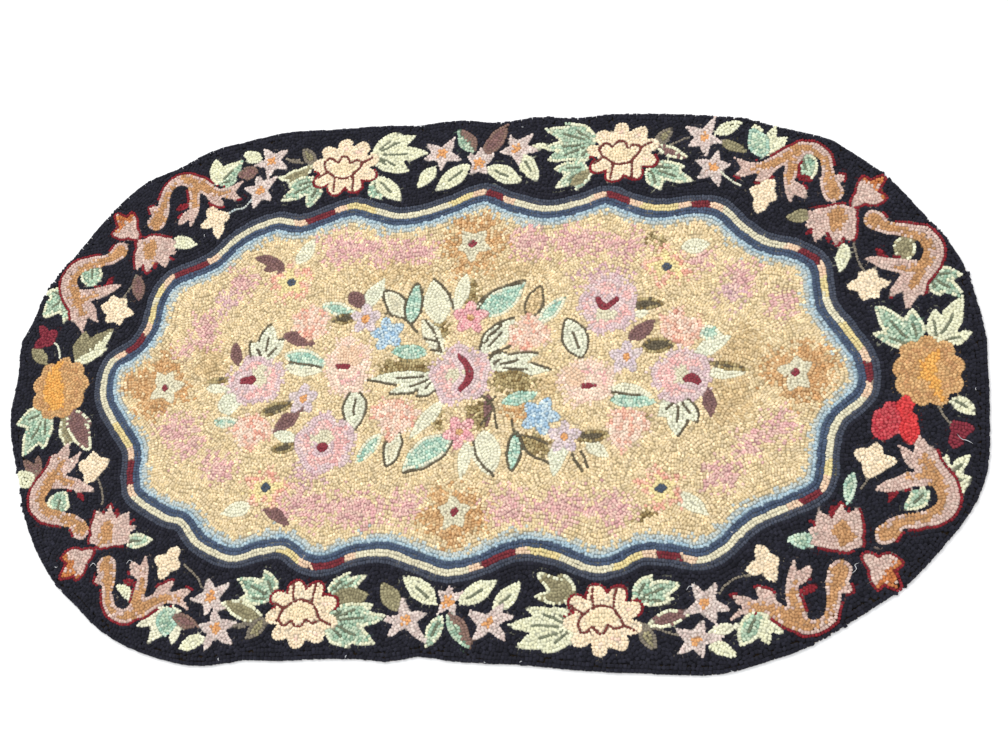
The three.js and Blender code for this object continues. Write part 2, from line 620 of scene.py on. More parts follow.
class Plan:
    """The rug's pattern, drawn square millimetre by square millimetre."""

    def __init__(self, edge: np.ndarray) -> None:
        """Starts with bare cloth inside the rug's edge line, in millimetres."""
        self.x = PLAN_LEFT + np.arange(PLAN_WIDE, dtype=float)
        self.y = PLAN_LOW + np.arange(PLAN_HIGH, dtype=float)
        self.inside = self.enclosed(edge)
        self.owner = np.full((PLAN_HIGH, PLAN_WIDE), -1, np.int16)
        self.tint = np.full((PLAN_HIGH, PLAN_WIDE), -1, np.int16)
        self.fills: list[Fill] = []
        self.by_hand: list[bool] = []
        self.drawn: list[Lines] = []
        x, y = np.meshgrid(self.x, self.y)
        waver, cell = 1.5, 13.0
        self.random = np.random.default_rng(3)
        self.stray_x = waver * drift(x, y, cell, 11) - PATTERN_SHIFT[0]
        self.stray_y = waver * drift(x, y, cell, 12) - PATTERN_SHIFT[1]

    def enclosed(self, line: np.ndarray) -> np.ndarray:
        """Marks the squares inside a closed line: those right of an odd number of its crossings of their
        row.

        Args:
            line: the corners of the line.

        Returns:
            Which squares are inside.
        """
        x0, y0 = line[:, 0], line[:, 1]
        x1, y1 = np.roll(x0, -1), np.roll(y0, -1)
        flips = np.zeros((PLAN_HIGH, PLAN_WIDE + 1), np.int32)
        rows, sides = np.nonzero((y0[None, :] <= self.y[:, None]) != (y1[None, :] <= self.y[:, None]))
        t = (self.y[rows] - y0[sides]) / (y1[sides] - y0[sides])
        cut = x0[sides] + t * (x1[sides] - x0[sides])
        column = np.clip(np.ceil(cut - PLAN_LEFT).astype(int), 0, PLAN_WIDE)
        np.add.at(flips, (rows, column), 1)
        return np.cumsum(flips, axis=1)[:, :-1] % 2 == 1

    def window(self, shape: Shape, margin: float) -> tuple[slice, slice, np.ndarray, np.ndarray]:
        """Cuts out the part of the plan that a shape can reach.

        Args:
            shape: the shape.
            margin: how much wider the part is than the shape.

        Returns:
            The rows, the columns, and the pattern's x and y there, with the maker's unsteady hand in them.
        """
        x0, y0, x1, y1 = shape.reach()
        edge = margin + 4
        rows = slice(max(0, int(y0 - edge - PLAN_LOW)), min(PLAN_HIGH, int(y1 + edge - PLAN_LOW) + 2))
        columns = slice(max(0, int(x0 - edge - PLAN_LEFT)), min(PLAN_WIDE, int(x1 + edge - PLAN_LEFT) + 2))
        x = self.x[columns][None, :] + self.stray_x[rows, columns]
        y = self.y[rows][:, None] + self.stray_y[rows, columns]
        return rows, columns, x, y

    def add(self, fill: Fill, by_hand: bool = False) -> int:
        """Opens a new patch and returns its label; by_hand says that its loops are placed one by one."""
        self.fills.append(fill)
        self.by_hand.append(by_hand)
        return len(self.fills) - 1

    def paint(self, mask: np.ndarray, fill: Fill) -> int:
        """Fills a mask over the whole plan with a new patch and returns its label."""
        label = self.add(fill)
        self.owner[mask] = label
        self.tint[mask] = -1
        return label

    def lay(self, shape: Shape, fill: Fill, grow: float = 0.0) -> int:
        """Fills a shape with a new patch and returns its label."""
        rows, columns, x, y = self.window(shape, grow)
        mask = (shape.depth(x, y) > -grow) & self.inside[rows, columns]
        label = self.add(fill)
        self.owner[rows, columns][mask] = label
        self.tint[rows, columns][mask] = -1
        return label

    def tinge(self, shape: Shape, yarn: Yarn, only: Sequence[int], deep: float = 1e3,
            spread: float = 0.0) -> None:
        """Recolours part of some patches without changing how their rows run.

        Args:
            shape: the part.
            yarn: its wool.
            only: the labels of the patches.
            deep: how far in from the shape's edge the wool reaches.
            spread: how far the wool thins out over that edge.
        """
        rows, columns, x, y = self.window(shape, 3 * spread)
        depth = shape.depth(x, y)
        if spread:
            depth += spread * self.random.standard_normal(depth.shape)
        mask = (depth > 0) & (depth < deep) & np.isin(self.owner[rows, columns], only)
        self.tint[rows, columns][mask] = CODE[yarn]

    def outline(self, shape: Shape, yarn: Yarn, piece: Piece, toward: Point | None = None,
            width: float = RED_PITCH, near: Shape | None = None) -> None:
        """Hooks one row around a shape, before the shape itself is laid.

        Args:
            shape: the shape.
            yarn: the row's wool.
            piece: the mesh that the row belongs to.
            toward: if given, only the sides of the shape that face this way get the row.
            width: the row's width.
            near: if given, only what lies in this shape gets the row.
        """
        rows, columns, x, y = self.window(shape, 2 * width)
        depth = shape.depth(x, y)
        ring = (depth > -width) & (depth < 1) & self.inside[rows, columns]
        if toward is not None:
            up, across = np.gradient(depth)
            steep = np.hypot(up, across) + 1e-6
            facing = -(across * toward[0] + up * toward[1]) / steep / math.hypot(*toward)
            ring &= facing > 0.15
        if near is not None:
            ring &= near.depth(x, y) > 0
        label = self.add(Fill((yarn,), piece, row_pitch=width), by_hand=True)
        self.owner[rows, columns][ring] = label
        self.tint[rows, columns][ring] = -1
        field_ = np.clip((depth + width / 2) / 64, -0.9, 0.9) + 1e-5
        usable = ring[:-1, :-1] & ring[1:, 1:]
        labels = np.zeros(depth.shape, int)
        found = walk_levels(field_, usable, labels, np.array([LOOP_PITCH]))
        if len(found.x):
            x0, y0 = self.x[columns][0], self.y[rows][0]
            level = np.full(len(found.x), -1.0)
            mark = np.full(len(found.x), label)
            self.drawn.append(Lines(found.x + x0, found.y + y0, found.angle, level, mark))

    def line(self, points: Sequence[Point], yarn: Yarn, piece: Piece, width: float = LINE_PITCH) -> None:
        """Hooks one row along a line, such as a vein or a stem.

        Args:
            points: the line.
            yarn: the row's wool.
            piece: the mesh that the row belongs to.
            width: the row's width.
        """
        path = spline(np.array(points, float), 0.5)
        x = path[:, 0] - self.at(self.stray_x, path[:, 0], path[:, 1])
        y = path[:, 1] - self.at(self.stray_y, path[:, 0], path[:, 1])
        label = self.add(Fill((yarn,), piece, row_pitch=width), by_hand=True)
        gx, gy = np.meshgrid(np.arange(-3, 4), np.arange(-3, 4))
        near = np.hypot(gx, gy) <= width / 2
        columns = np.round(x - PLAN_LEFT).astype(int)[:, None] + gx[near][None, :]
        rows = np.round(y - PLAN_LOW).astype(int)[:, None] + gy[near][None, :]
        allowed = self.inside[rows, columns]
        self.owner[rows[allowed], columns[allowed]] = label
        self.tint[rows[allowed], columns[allowed]] = -1
        gone = np.concatenate([[0], np.cumsum(np.hypot(np.diff(x), np.diff(y)))])
        count = max(1, round(gone[-1] / LOOP_PITCH))
        at = (np.arange(count) + 0.5) / count * gone[-1]
        before, after = np.clip(at - 2, 0, gone[-1]), np.clip(at + 2, 0, gone[-1])
        dx = np.interp(after, gone, x) - np.interp(before, gone, x)
        dy = np.interp(after, gone, y) - np.interp(before, gone, y)
        angle, level, mark = np.arctan2(dy, dx), np.full(count, -1.0), np.full(count, label)
        self.drawn.append(Lines(np.interp(at, gone, x), np.interp(at, gone, y), angle, level, mark))

    def at(self, grid: np.ndarray, x: np.ndarray, y: np.ndarray) -> np.ndarray:
        """The grid's values at points."""
        column = np.clip(np.round(x - PLAN_LEFT).astype(int), 0, PLAN_WIDE - 1)
        row = np.clip(np.round(y - PLAN_LOW).astype(int), 0, PLAN_HIGH - 1)
        return grid[row, column]


@dataclass
class Loops:
    """All the loops of the rug: place, direction of the row, spacing, wool and the mesh that each belongs
    to.
    """

    x: np.ndarray
    y: np.ndarray
    angle: np.ndarray
    across: np.ndarray
    along: np.ndarray
    yarn: np.ndarray
    piece: np.ndarray
    from_edge: np.ndarray


class Hooker:
    """Works out where each loop goes, from the finished plan."""

    def __init__(self, plan: Plan) -> None:
        """Takes the plan and opens the random numbers."""
        self.plan = plan
        self.random = np.random.default_rng(5)
        self.row_pitch = np.array([fill.row_pitch for fill in plan.fills] + [ROW_PITCH])
        self.loop_pitch = np.array([fill.loop_pitch for fill in plan.fills] + [LOOP_PITCH])
        self.room = ROOM_SHARE * (self.row_pitch + self.loop_pitch)

    def rows(self) -> tuple[Lines, np.ndarray]:
        """Finds the rows, half a pitch in from each patch's edge and then a pitch apart.

        Returns:
            The rows' loops, and the distance from each square to its patch's edge.
        """
        plan = self.plan
        distance = edge_distance(plan.owner, FARTHEST)
        x, y = np.meshgrid(plan.x, plan.y)
        swirl = np.array([fill.swirl for fill in plan.fills] + [0.0])[plan.owner]
        inward = np.clip((distance - 4) / 14, 0, 1)
        count = distance / self.row_pitch[plan.owner] - 0.5
        count = count + swirl * inward * (drift(x, y, 30, 21) + 0.5 * drift(x, y, 13, 22)) + 1e-4
        by_hand = np.array(plan.by_hand + [True])[plan.owner]
        own = plan.owner
        whole = (own[:-1, :-1] == own[:-1, 1:]) & (own[:-1, :-1] == own[1:, 1:]) & (own[:-1, :-1] ==
            own[1:, :-1])
        usable = whole & ~by_hand[:-1, :-1] & (distance[:-1, :-1] < FARTHEST - 1)
        found = walk_levels(count, usable, own, self.loop_pitch)
        found.x = found.x + PLAN_LEFT
        found.y = found.y + PLAN_LOW
        return found, distance

    def fill_gaps(self, loops: Lines, distance: np.ndarray, share: float) -> Lines:
        """Adds loops where the rows leave a hole.

        Args:
            loops: the loops so far.
            distance: how far each square is from its patch's edge.
            share: how wide a hole may be, in pitches.

        Returns:
            The loops to add.
        """
        plan = self.plan
        covered = plan.owner < 0
        pitch = (self.row_pitch + self.loop_pitch) / 2
        for size in np.unique(pitch[loops.label]):
            mine = pitch[loops.label] == size
            radius = size * share
            span = np.arange(-int(radius) - 1, int(radius) + 2)
            gx, gy = np.meshgrid(span, span)
            near = np.hypot(gx, gy) <= radius
            column = np.round(loops.x[mine] - PLAN_LEFT).astype(int)[:, None] + gx[near][None, :]
            row = np.round(loops.y[mine] - PLAN_LOW).astype(int)[:, None] + gy[near][None, :]
            ok = (column >= 0) & (column < PLAN_WIDE) & (row >= 0) & (row < PLAN_HIGH)
            covered[row[ok], column[ok]] = True
        row, column = np.nonzero(~covered)
        label = plan.owner[row, column]
        x = column + PLAN_LEFT + self.random.uniform(-0.3, 0.3, len(row))
        y = row + PLAN_LOW + self.random.uniform(-0.3, 0.3, len(row))
        rank = -np.minimum(distance[row, column], 2.5) + self.random.uniform(0, 0.5, len(row))
        stays = spaced(x, y, rank, self.room[label])
        up, across = np.gradient(distance)
        slope = np.arctan2(up[row, column], across[row, column])
        level = np.round(distance[row, column] / self.row_pitch[label] - 0.5)
        return Lines(x, y, slope + np.pi / 2, level, label).kept(stays)

    def hook(self) -> Loops:
        """Hooks the whole rug and returns every loop with its wool."""
        plan = self.plan
        found, distance = self.rows()
        drawn = joined(plan.drawn) if plan.drawn else found.kept(np.zeros(len(found.x), bool))
        drawn = drawn.kept(plan.at(plan.owner, drawn.x, drawn.y) == drawn.label)
        loops = joined([found, drawn])
        rank = loops.level + self.random.uniform(0, 0.4, len(loops.x))
        loops = loops.kept(spaced(loops.x, loops.y, rank, self.room[loops.label]))
        for share in HOLE_SHARES:
            extra = self.fill_gaps(loops, distance, share)
            both = joined([loops, extra])
            rank = np.concatenate([np.zeros(len(loops.x)), 1 + self.random.uniform(0, 1, len(extra.x))])
            loops = both.kept(spaced(both.x, both.y, rank, TIGHTER * self.room[both.label]))
        return self.dye(loops)

    def dye(self, loops: Lines) -> Loops:
        """Gives each placed loop its wool and spacing, by its row or by the tinge laid over it."""
        plan = self.plan
        most = max(len(fill.rows) for fill in plan.fills)
        table = np.array([[CODE[fill.rows[min(k, len(fill.rows) - 1)]] for k in range(most)] for fill
            in plan.fills])
        softs = np.array([fill.soft for fill in plan.fills] + [0.0])
        soft = softs[loops.label]
        off_x = loops.x + soft * self.random.standard_normal(len(loops.x))
        off_y = loops.y + soft * self.random.standard_normal(len(loops.x))
        taken = plan.at(plan.owner, off_x, off_y)
        level = loops.level + soft / self.row_pitch[loops.label] * self.random.standard_normal(len(loops.x))
        level = np.where(taken == loops.label, level, 0)
        allowed = (taken == loops.label) | ((soft > FRAYED) & (softs[taken] > FRAYED))
        off_x = np.where(allowed, off_x, loops.x)
        off_y = np.where(allowed, off_y, loops.y)
        level = np.where(allowed, level, loops.level)
        level = np.clip(np.round(level), 0, most - 1).astype(int)
        yarn = table[np.where(allowed, taken, loops.label), level]
        tint = plan.at(plan.tint, off_x, off_y)
        yarn = np.where(tint >= 0, tint, yarn)
        piece = np.array([PIECES.index(fill.piece) for fill in plan.fills])[loops.label]
        from_edge = edge_distance(plan.inside.astype(np.int16), 12)
        return Loops(loops.x, loops.y, loops.angle, self.row_pitch[loops.label],
            self.loop_pitch[loops.label], yarn, piece, plan.at(from_edge, loops.x, loops.y))


def linear(colour: np.ndarray) -> np.ndarray:
    """Turns display values from 0 to 255 into linear light from 0 to 1."""
    share = np.asarray(colour, float) / 255
    return np.where(share <= 0.04045, share / 12.92, ((share + 0.055) / 1.055) ** 2.4)


def put_mesh(name: str, places: np.ndarray, corners: np.ndarray, starts: np.ndarray) -> bpy.types.Object:
    """Makes a mesh object with smooth faces from whole arrays.

    Args:
        name: the object's name.
        places: the vertices, in metres.
        corners: the faces' vertex numbers, one face after the other.
        starts: where each face starts in corners.

    Returns:
        The object, in the scene.
    """
    mesh = bpy.data.meshes.new(name)
    mesh.vertices.add(len(places))
    mesh.vertices.foreach_set("co", places.astype(np.float32).ravel())
    mesh.loops.add(len(corners))
    mesh.loops.foreach_set("vertex_index", corners.astype(np.int32))
    mesh.polygons.add(len(starts))
    mesh.polygons.foreach_set("loop_start", starts.astype(np.int32))
    mesh.update(calc_edges=True)
    mesh.polygons.foreach_set("use_smooth", np.ones(len(starts), bool))
    thing = bpy.data.objects.new(name, mesh)
    bpy.context.scene.collection.objects.link(thing)
    return thing


@dataclass(frozen=True)
class LoopForm:
    """One loop as a closed bump of 16 triangles: a foot, a belly and a ridge.

    Its long way lies across the row. Lengths are shares of half the loop's size, heights shares of its
    height.
    """

    foot: tuple[float, float] = (0.62, 0.86)
    belly: tuple[float, float] = (0.88, 0.82)
    belly_high: float = 0.72
    ridge: float = 0.42

    def vertices(self) -> np.ndarray:
        """The 10 vertices: 4 of the foot, 4 of the belly and 2 of the ridge."""
        corners = np.array([(-1, -1), (1, -1), (1, 1), (-1, 1)], float)
        foot = np.column_stack([corners * self.foot, np.zeros(4)])
        belly = np.column_stack([corners * self.belly, np.full(4, self.belly_high)])
        return np.vstack([foot, belly, [(self.ridge, 0, 1), (-self.ridge, 0, 1)]])

    def faces(self) -> list[tuple[int, ...]]:
        """The faces, turned outwards: underside, sides, then crown."""
        sides = [(0, 1, 5, 4), (1, 2, 6, 5), (2, 3, 7, 6), (3, 0, 4, 7)]
        crown = [(4, 5, 8, 9), (6, 7, 9, 8), (5, 6, 8), (7, 4, 9)]
        return [(3, 2, 1, 0)] + sides + crown

    def shading(self) -> np.ndarray:
        """How much of the wool's colour shows at each vertex, as painted shade: least down between the
        loops.
        """
        return np.array([0.5] * 4 + [0.86] * 4 + [1.0] * 2)

    def flat_map(self) -> np.ndarray:
        """Each face corner's place in the loop's own square of the texture map.

        The crown lies in the middle, the belly round it, the foot at the corners and the underside in a
        strip beside.
        """
        corners = np.array([(-1, -1), (1, -1), (1, 1), (-1, 1)], float)
        ring = np.vstack([corners, 0.6 * corners, [(0.22, 0), (-0.22, 0)]])
        main = np.column_stack([0.42 + 0.38 * ring[:, 0], 0.5 + 0.45 * ring[:, 1]])
        strip = np.column_stack([0.9 + 0.05 * ring[:4, 0], 0.5 + 0.4 * ring[:4, 1]])
        faces = self.faces()
        return np.vstack([strip[list(faces[0])]] + [main[list(face)] for face in faces[1:]])


@dataclass(frozen=True)
class Pile:
    """The wool loops, made into joined meshes."""

    form: LoopForm = LoopForm()
    seed: int = 8
    long_share: float = 0.58
    short_share: float = 0.58
    twist: float = 0.30
    sway: float = 0.45
    edge_reach: float = 5.0

    def build(self, loops: Loops) -> dict[str, bpy.types.Object]:
        """Makes each piece's meshes by name, split from near to far where it has too many loops.

        Args:
            loops: all the rug's loops.

        Returns:
            The objects by name.
        """
        made = {}
        for number, piece in enumerate(PIECES):
            mine = np.nonzero(loops.piece == number)[0]
            mine = mine[np.argsort(loops.y[mine], kind="stable")]
            parts = max(1, math.ceil(len(mine) / MOST_LOOPS_IN_A_PIECE))
            for part, chosen in enumerate(np.array_split(mine, parts)):
                name = piece.value if parts == 1 else f"{piece.value}_{part + 1}"
                made[name] = self.mesh(name, loops, chosen, self.seed + 10 * number + part)
        return made

    def mesh(self, name: str, loops: Loops, chosen: np.ndarray, seed: int) -> bpy.types.Object:
        """Joins loops into one mesh.

        Each is the form stretched to its size and turned across its row with a little twist, and its belly
        and ridge sway off its foot. At the rug's edge it lies along the row and is lower.

        Args:
            name: the object's name.
            loops: all the loops.
            chosen: the loops of this mesh.
            seed: opens its random numbers.

        Returns:
            The object with its colours and texture map.
        """
        random = np.random.default_rng(seed)
        count = len(chosen)
        shape = self.form.vertices()
        crosswise = np.pi / 2 + random.normal(0, self.twist, count)
        turn = loops.angle[chosen] + np.where(loops.from_edge[chosen] < self.edge_reach, 0, crosswise)
        size = random.normal(1, 0.05, (count, 3)).clip(0.86, 1.14)
        half_long = self.long_share * loops.across[chosen] * size[:, 0]
        half_short = self.short_share * loops.along[chosen] * size[:, 1]
        near_edge = np.clip(1 - loops.from_edge[chosen] / self.edge_reach, 0, 1)
        worn = 0.35 * drift(loops.x[chosen], loops.y[chosen], 70, 31)
        foot = np.where(loops.from_edge[chosen] < HIDDEN_REACH, HIDDEN_FOOT, LOOP_FOOT)
        foot = foot + FOOT_STEP * (np.arange(count) % FOOT_STEPS)
        tall = (PILE_TOP - foot - 0.25 + worn - 2.0 * near_edge) * (1 + 0.6 * (size[:, 2] - 1))
        sway = random.normal(0, self.sway, (count, 2)).clip(-1, 1)
        u, v, h = shape[:, 0][None, :], shape[:, 1][None, :], shape[:, 2][None, :]
        long_way, short_way = half_long[:, None] * u, half_short[:, None] * v
        cos, sin = np.cos(turn)[:, None], np.sin(turn)[:, None]
        x = loops.x[chosen][:, None] + cos * long_way - sin * short_way + sway[:, :1] * h
        y = loops.y[chosen][:, None] + sin * long_way + cos * short_way + sway[:, 1:] * h
        z = foot[:, None] + tall[:, None] * h
        places = np.stack([x, y, z], -1).reshape(-1, 3) * MM
        faces = self.form.faces()
        one = np.concatenate([np.array(face) for face in faces])
        lengths = np.array([len(face) for face in faces])
        corners = (one[None, :] + len(shape) * np.arange(count)[:, None]).ravel()
        begin = np.cumsum(lengths) - lengths
        starts = (begin[None, :] + len(one) * np.arange(count)[:, None]).ravel()
        thing = put_mesh(name, places, corners, starts)
        self.colour(thing.data, loops.yarn[chosen], random)
        self.unwrap(thing.data, count)
        return thing

    def colour(self, mesh: bpy.types.Mesh, yarn: np.ndarray, random: np.random.Generator) -> None:
        """Writes each vertex's wool colour: between the dye's two shades, uneven, and darker down the loop
        as painted shade.
        """
        colour = linear(np.array([y.value.colour for y in YARNS]))[yarn]
        shade = linear(np.array([y.value.shade for y in YARNS]))[yarn]
        uneven = np.array([y.value.uneven for y in YARNS])[yarn]
        mix = random.uniform(0, 1, len(yarn))[:, None]
        bright = np.exp(random.standard_normal(len(yarn)) * uneven)[:, None]
        wool = (colour * (1 - mix) + shade * mix) * bright
        # painted shade: each vertex's wool is darkened towards the loop's foot, where the loops shade each
        # other
        depth = self.form.shading()
        all_ = np.ones((len(yarn), len(depth), 4))
        all_[:, :, :3] = wool[:, None, :] * depth[None, :, None]
        layer = mesh.attributes.new("yarn_colour", "FLOAT_COLOR", "POINT")
        layer.data.foreach_set("color", all_.clip(0, 1).astype(np.float32).ravel())

    def unwrap(self, mesh: bpy.types.Mesh, count: int) -> None:
        """Lays each loop in a square of its own in the texture map, row by row."""
        side = math.ceil(math.sqrt(count))
        one = self.form.flat_map()
        number = np.arange(count)
        cell = np.stack([number % side, number // side], -1)
        places = (cell[:, None, :] + one[None, :, :]) / side
        layer = mesh.uv_layers.new(name="OFBake")
        layer.data.foreach_set("uv", places.astype(np.float32).ravel())


@dataclass(frozen=True)
class Nap:
    """The matted lower part of the pile, which closes the gaps between the loops, coloured as painted
    shade.
    """

    step: int = 9
    low: float = 1.5
    top: float = 5.2
    # how much of the wool's colour the slab keeps: painted shade down between the loops
    shade: float = 0.5
    rim: float = 9.0

    def build(self, plan: Plan, name: str) -> bpy.types.Object:
        """Makes a closed slab over the plan's net of points, each with the wool of its patch, darkened as
        painted shade.

        A net square belongs to it if all its corners are inside the rug by the rim. Its top and underside
        are quads, and a side that borders no other square is closed by an upright quad.

        Args:
            plan: the finished plan.
            name: the object's name.

        Returns:
            The object, coloured.
        """
        rows, columns = slice(0, PLAN_HIGH, self.step), slice(0, PLAN_WIDE, self.step)
        within = edge_distance(plan.inside.astype(np.int16), int(self.rim) + 3)
        solid = plan.inside[rows, columns] & (within[rows, columns] >= self.rim)
        y, x = np.meshgrid(plan.y[rows], plan.x[columns], indexing="ij")
        high, wide = solid.shape
        cell = solid[:-1, :-1] & solid[:-1, 1:] & solid[1:, 1:] & solid[1:, :-1]
        cell = np.pad(cell, 1)
        row, column = np.nonzero(cell)
        point = (row - 1) * wide + column - 1
        corner = np.stack([point, point + 1, point + wide + 1, point + wide], -1)
        under = high * wide
        quads = [corner, corner[:, ::-1] + under]
        for k, (up, across) in enumerate(((-1, 0), (0, 1), (1, 0), (0, -1))):
            bare = ~cell[row + up, column + across]
            a, b = corner[bare, k], corner[bare, (k + 1) % 4]
            quads.append(np.stack([a, a + under, b + under, b], -1))
        corners = np.concatenate(quads).ravel()
        used, corners = np.unique(corners, return_inverse=True)
        flat = used % under
        height = np.where(used < under, self.top, self.low)
        places = np.column_stack([x.ravel()[flat], y.ravel()[flat], height]) * MM
        thing = put_mesh(name, places, corners, np.arange(len(corners) // 4) * 4)
        first = np.array([CODE[fill.rows[0]] for fill in plan.fills])
        yarn = first[plan.owner[rows, columns].ravel()[flat]]
        tint = plan.tint[rows, columns].ravel()[flat]
        wool = linear(np.array([y.value.colour for y in YARNS]))[np.where(tint >= 0, tint, yarn)]
        layer = thing.data.attributes.new("yarn_colour", "FLOAT_COLOR", "POINT")
        # painted shade: the slab's wool is darkened to stand for the shade between the loops
        colour = np.column_stack([wool * self.shade, np.ones(len(wool))])
        layer.data.foreach_set("color", colour.astype(np.float32).ravel())
        return thing


@dataclass(frozen=True)
class Ground:
    """The dark ground of the border, out to the rug's edge."""

    fill: Fill = Fill((Y.COAL,), Piece.GROUND, row_pitch=GROUND_ROW_PITCH, loop_pitch=GROUND_LOOP_PITCH,
        swirl=0.4)

    def draw(self, plan: Plan) -> None:
        """Fills the whole rug, before anything else is drawn on it."""
        plan.paint(plan.inside, self.fill)


@dataclass(frozen=True)
class Ribbon:
    """The scalloped ribbon round the field: slate, cream with burgundy ties, navy, light blue.

    points are the middle of its cream stripe.
    """

    points: tuple[Point, ...] = ((-339, 277), (-395, 253), (-436, 214), (-475, 196), (-509, 181),
        (-528, 148), (-535, 98), (-555, 65), (-590, 41), (-600, 8), (-592, -32), (-560, -76), (-535, -110),
        (-530, -155), (-516, -186), (-462, -217), (-432, -226), (-400, -259), (-345, -281), (-300, -270),
        (-262, -267), (-226, -288), (-193, -291), (-148, -275), (-100, -271), (-45, -288), (-5, -299),
        (37, -291), (83, -271), (115, -266), (155, -273), (207, -292), (243, -288), (279, -271),
        (319, -272), (361, -278), (394, -262), (432, -225), (479, -203), (520, -184), (535, -160),
        (539, -114), (550, -77), (585, -44), (595, -20), (590, 18), (565, 60), (540, 96), (533, 128),
        (526, 168), (492, 192), (452, 203), (415, 230), (380, 265), (340, 272), (287, 268), (246, 280),
        (205, 296), (163, 283), (110, 276), (54, 292), (9, 310), (-39, 294), (-82, 280), (-127, 275),
        (-165, 285), (-209, 297), (-257, 282), (-295, 271))
    ties: tuple[tuple[Point, Point], ...] = (((-505, 190), (-447, 205)), ((-568, 55), (-540, 82)),
        ((-535, -125), (-532, -165)), ((-285, 275), (-237, 292)), ((-215, -290), (-165, -278)),
        ((45, -285), (95, -268)), ((300, -272), (335, -272)), ((500, -195), (528, -178)),
        ((592, 12), (594, -20)), ((498, 190), (527, 168)), ((338, 272), (365, 270)),
        ((205, 296), (240, 282)), ((12, 309), (42, 298)))

    def middle(self, plan: Plan) -> tuple[np.ndarray, np.ndarray]:
        """Which squares the cream stripe's middle encloses, and how far each square is from it."""
        line = spline(np.array(self.points, float) + np.array(PATTERN_SHIFT), 4.0, closed=True)
        inner = plan.enclosed(line)
        return inner, edge_distance(inner.astype(np.int16), 42)

    def draw(self, plan: Plan) -> None:
        """Lays the four bands by their distance from the cream stripe's middle, then ties and tinges the
        cream.
        """
        inner, away = self.middle(plan)
        signed = np.where(inner, -away, away) + 0.5 * plan.stray_x
        bands = ((-5.2, 15.6, Y.SLATE, 0.8), (-16.2, 5.2, Y.CREAM, 0.6), (-22.2, -5.2, Y.NAVY, 0.6),
            (-28.4, -16.2, Y.SKY, 1.4), (-99.0, -22.4, Y.ICE, 3.0))
        labels = []
        for low, high, yarn, soft in bands:
            band = (signed > low) & (signed < high) & plan.inside
            labels.append(plan.paint(band, Fill((yarn,), Piece.RIBBON, soft)))
        for number, (start, finish) in enumerate(self.ties):
            self.tie(plan, start, finish, labels[1], number % 2 == 0)

    def tie(self, plan: Plan, start: Point, finish: Point, cream: int, turned: bool) -> None:
        """Lays one tie across the cream stripe and tinges the stripe beside it peach, then yellow.

        Args:
            plan: the rug's plan.
            start: one end of the tie.
            finish: its other end.
            cream: the stripe's label.
            turned: whether the yellow lies before the start or after the finish.
        """
        length = math.dist(start, finish)
        rows, columns, x, y = plan.window(Trail(((*start, 30.0), (*finish, 30.0))), 60)
        dx, dy = (finish[0] - start[0]) / length, (finish[1] - start[1]) / length
        along = (x - start[0]) * dx + (y - start[1]) * dy
        across = np.abs((x - start[0]) * dy - (y - start[1]) * dx)
        mine = plan.owner[rows, columns] == cream
        past = np.maximum(-along, along - length)
        yellow = -along if turned else along - length
        plan.tint[rows, columns][mine & (yellow > 14) & (yellow < 62) & (across < 34)] = CODE[Y.BUTTER]
        plan.tint[rows, columns][mine & (past > 0) & (past < 20) & (across < 18)] = CODE[Y.PEACH]
        tie = mine & (past < 0) & (across < 16)
        plan.owner[rows, columns][tie] = plan.add(Fill((Y.BURGUNDY,), Piece.RIBBON))
        plan.tint[rows, columns][tie] = -1


@dataclass(frozen=True)
class TanField:
    """The tan field inside the ribbon, clouded with other wools; a cloud is its middle and half its width
    and height.
    """

    fill: Fill = Fill((Y.CAMEL,), Piece.FIELD, soft=5.0, swirl=1.2)
    spread: float = 8.0
    clouds: tuple[tuple[Yarn, tuple[tuple[float, ...], ...]],
        ...] = ((Y.CLOUD_PINK, ((-205, 222, 58, 26), (-110, 210, 52, 26), (88, 222, 36, 28),
        (165, 218, 46, 26), (238, 208, 34, 22), (-235, -200, 54, 28), (-150, -206, 46, 28),
        (-75, -200, 24, 26), (82, -202, 34, 28), (160, -204, 46, 28), (236, -206, 34, 26),
        (-436, 92, 24, 30), (-378, 168, 24, 24), (-462, 58, 18, 14), (-460, -72, 36, 20),
        (-440, -104, 26, 20), (-384, -142, 26, 24), (412, 148, 28, 26), (474, 104, 22, 22),
        (352, 182, 18, 20), (470, -84, 26, 18), (430, -112, 22, 20), (386, -156, 26, 22))),
        (Y.CLOUD_MAUVE, ((-236, -150, 26, 16), (205, 160, 34, 14), (398, 122, 18, 18),
        (-404, 138, 16, 18))), (Y.GOLD, ((0, 222, 50, 54), (500, -2, 54, 48), (-504, -4, 56, 52),
        (-2, -214, 50, 48), (84, -56, 16, 16))),
        (Y.FAWN, ((416, 36, 40, 34), (404, -40, 36, 40), (-420, 30, 30, 30), (128, -14, 26, 16),
        (60, 178, 50, 16), (-120, 176, 60, 16))))

    def draw(self, plan: Plan) -> None:
        """Fills what the ribbon encloses and tinges the clouds, each with a ragged edge."""
        inner, away = Ribbon().middle(plan)
        label = plan.paint(inner & (away > RIBBON_INNER), self.fill)
        places = [(yarn, place) for yarn, group in self.clouds for place in group]
        for number, (yarn, place) in enumerate(places):
            cloud = Rosette(*place, 3 + number % 4, 0.34, 1.6, 0.7 * number)
            plan.tinge(cloud, yarn, (label,), spread=self.spread)


@dataclass(frozen=True)
class LeafWool:
    """A leaf's rows of wool from the edge in, its veins, the dark row around it, its right-hand half and
    its rim.

    bow bends it, and side 1 or -1 keeps the row around it to the left or the right, seen from its foot.
    """

    rows: tuple[Yarn, ...]
    vein: Yarn | None = None
    around: Yarn | None = None
    half: Yarn | None = None
    rim: Yarn | None = None
    soft: float = 1.4
    bow: float = 0.0
    side: int = 0


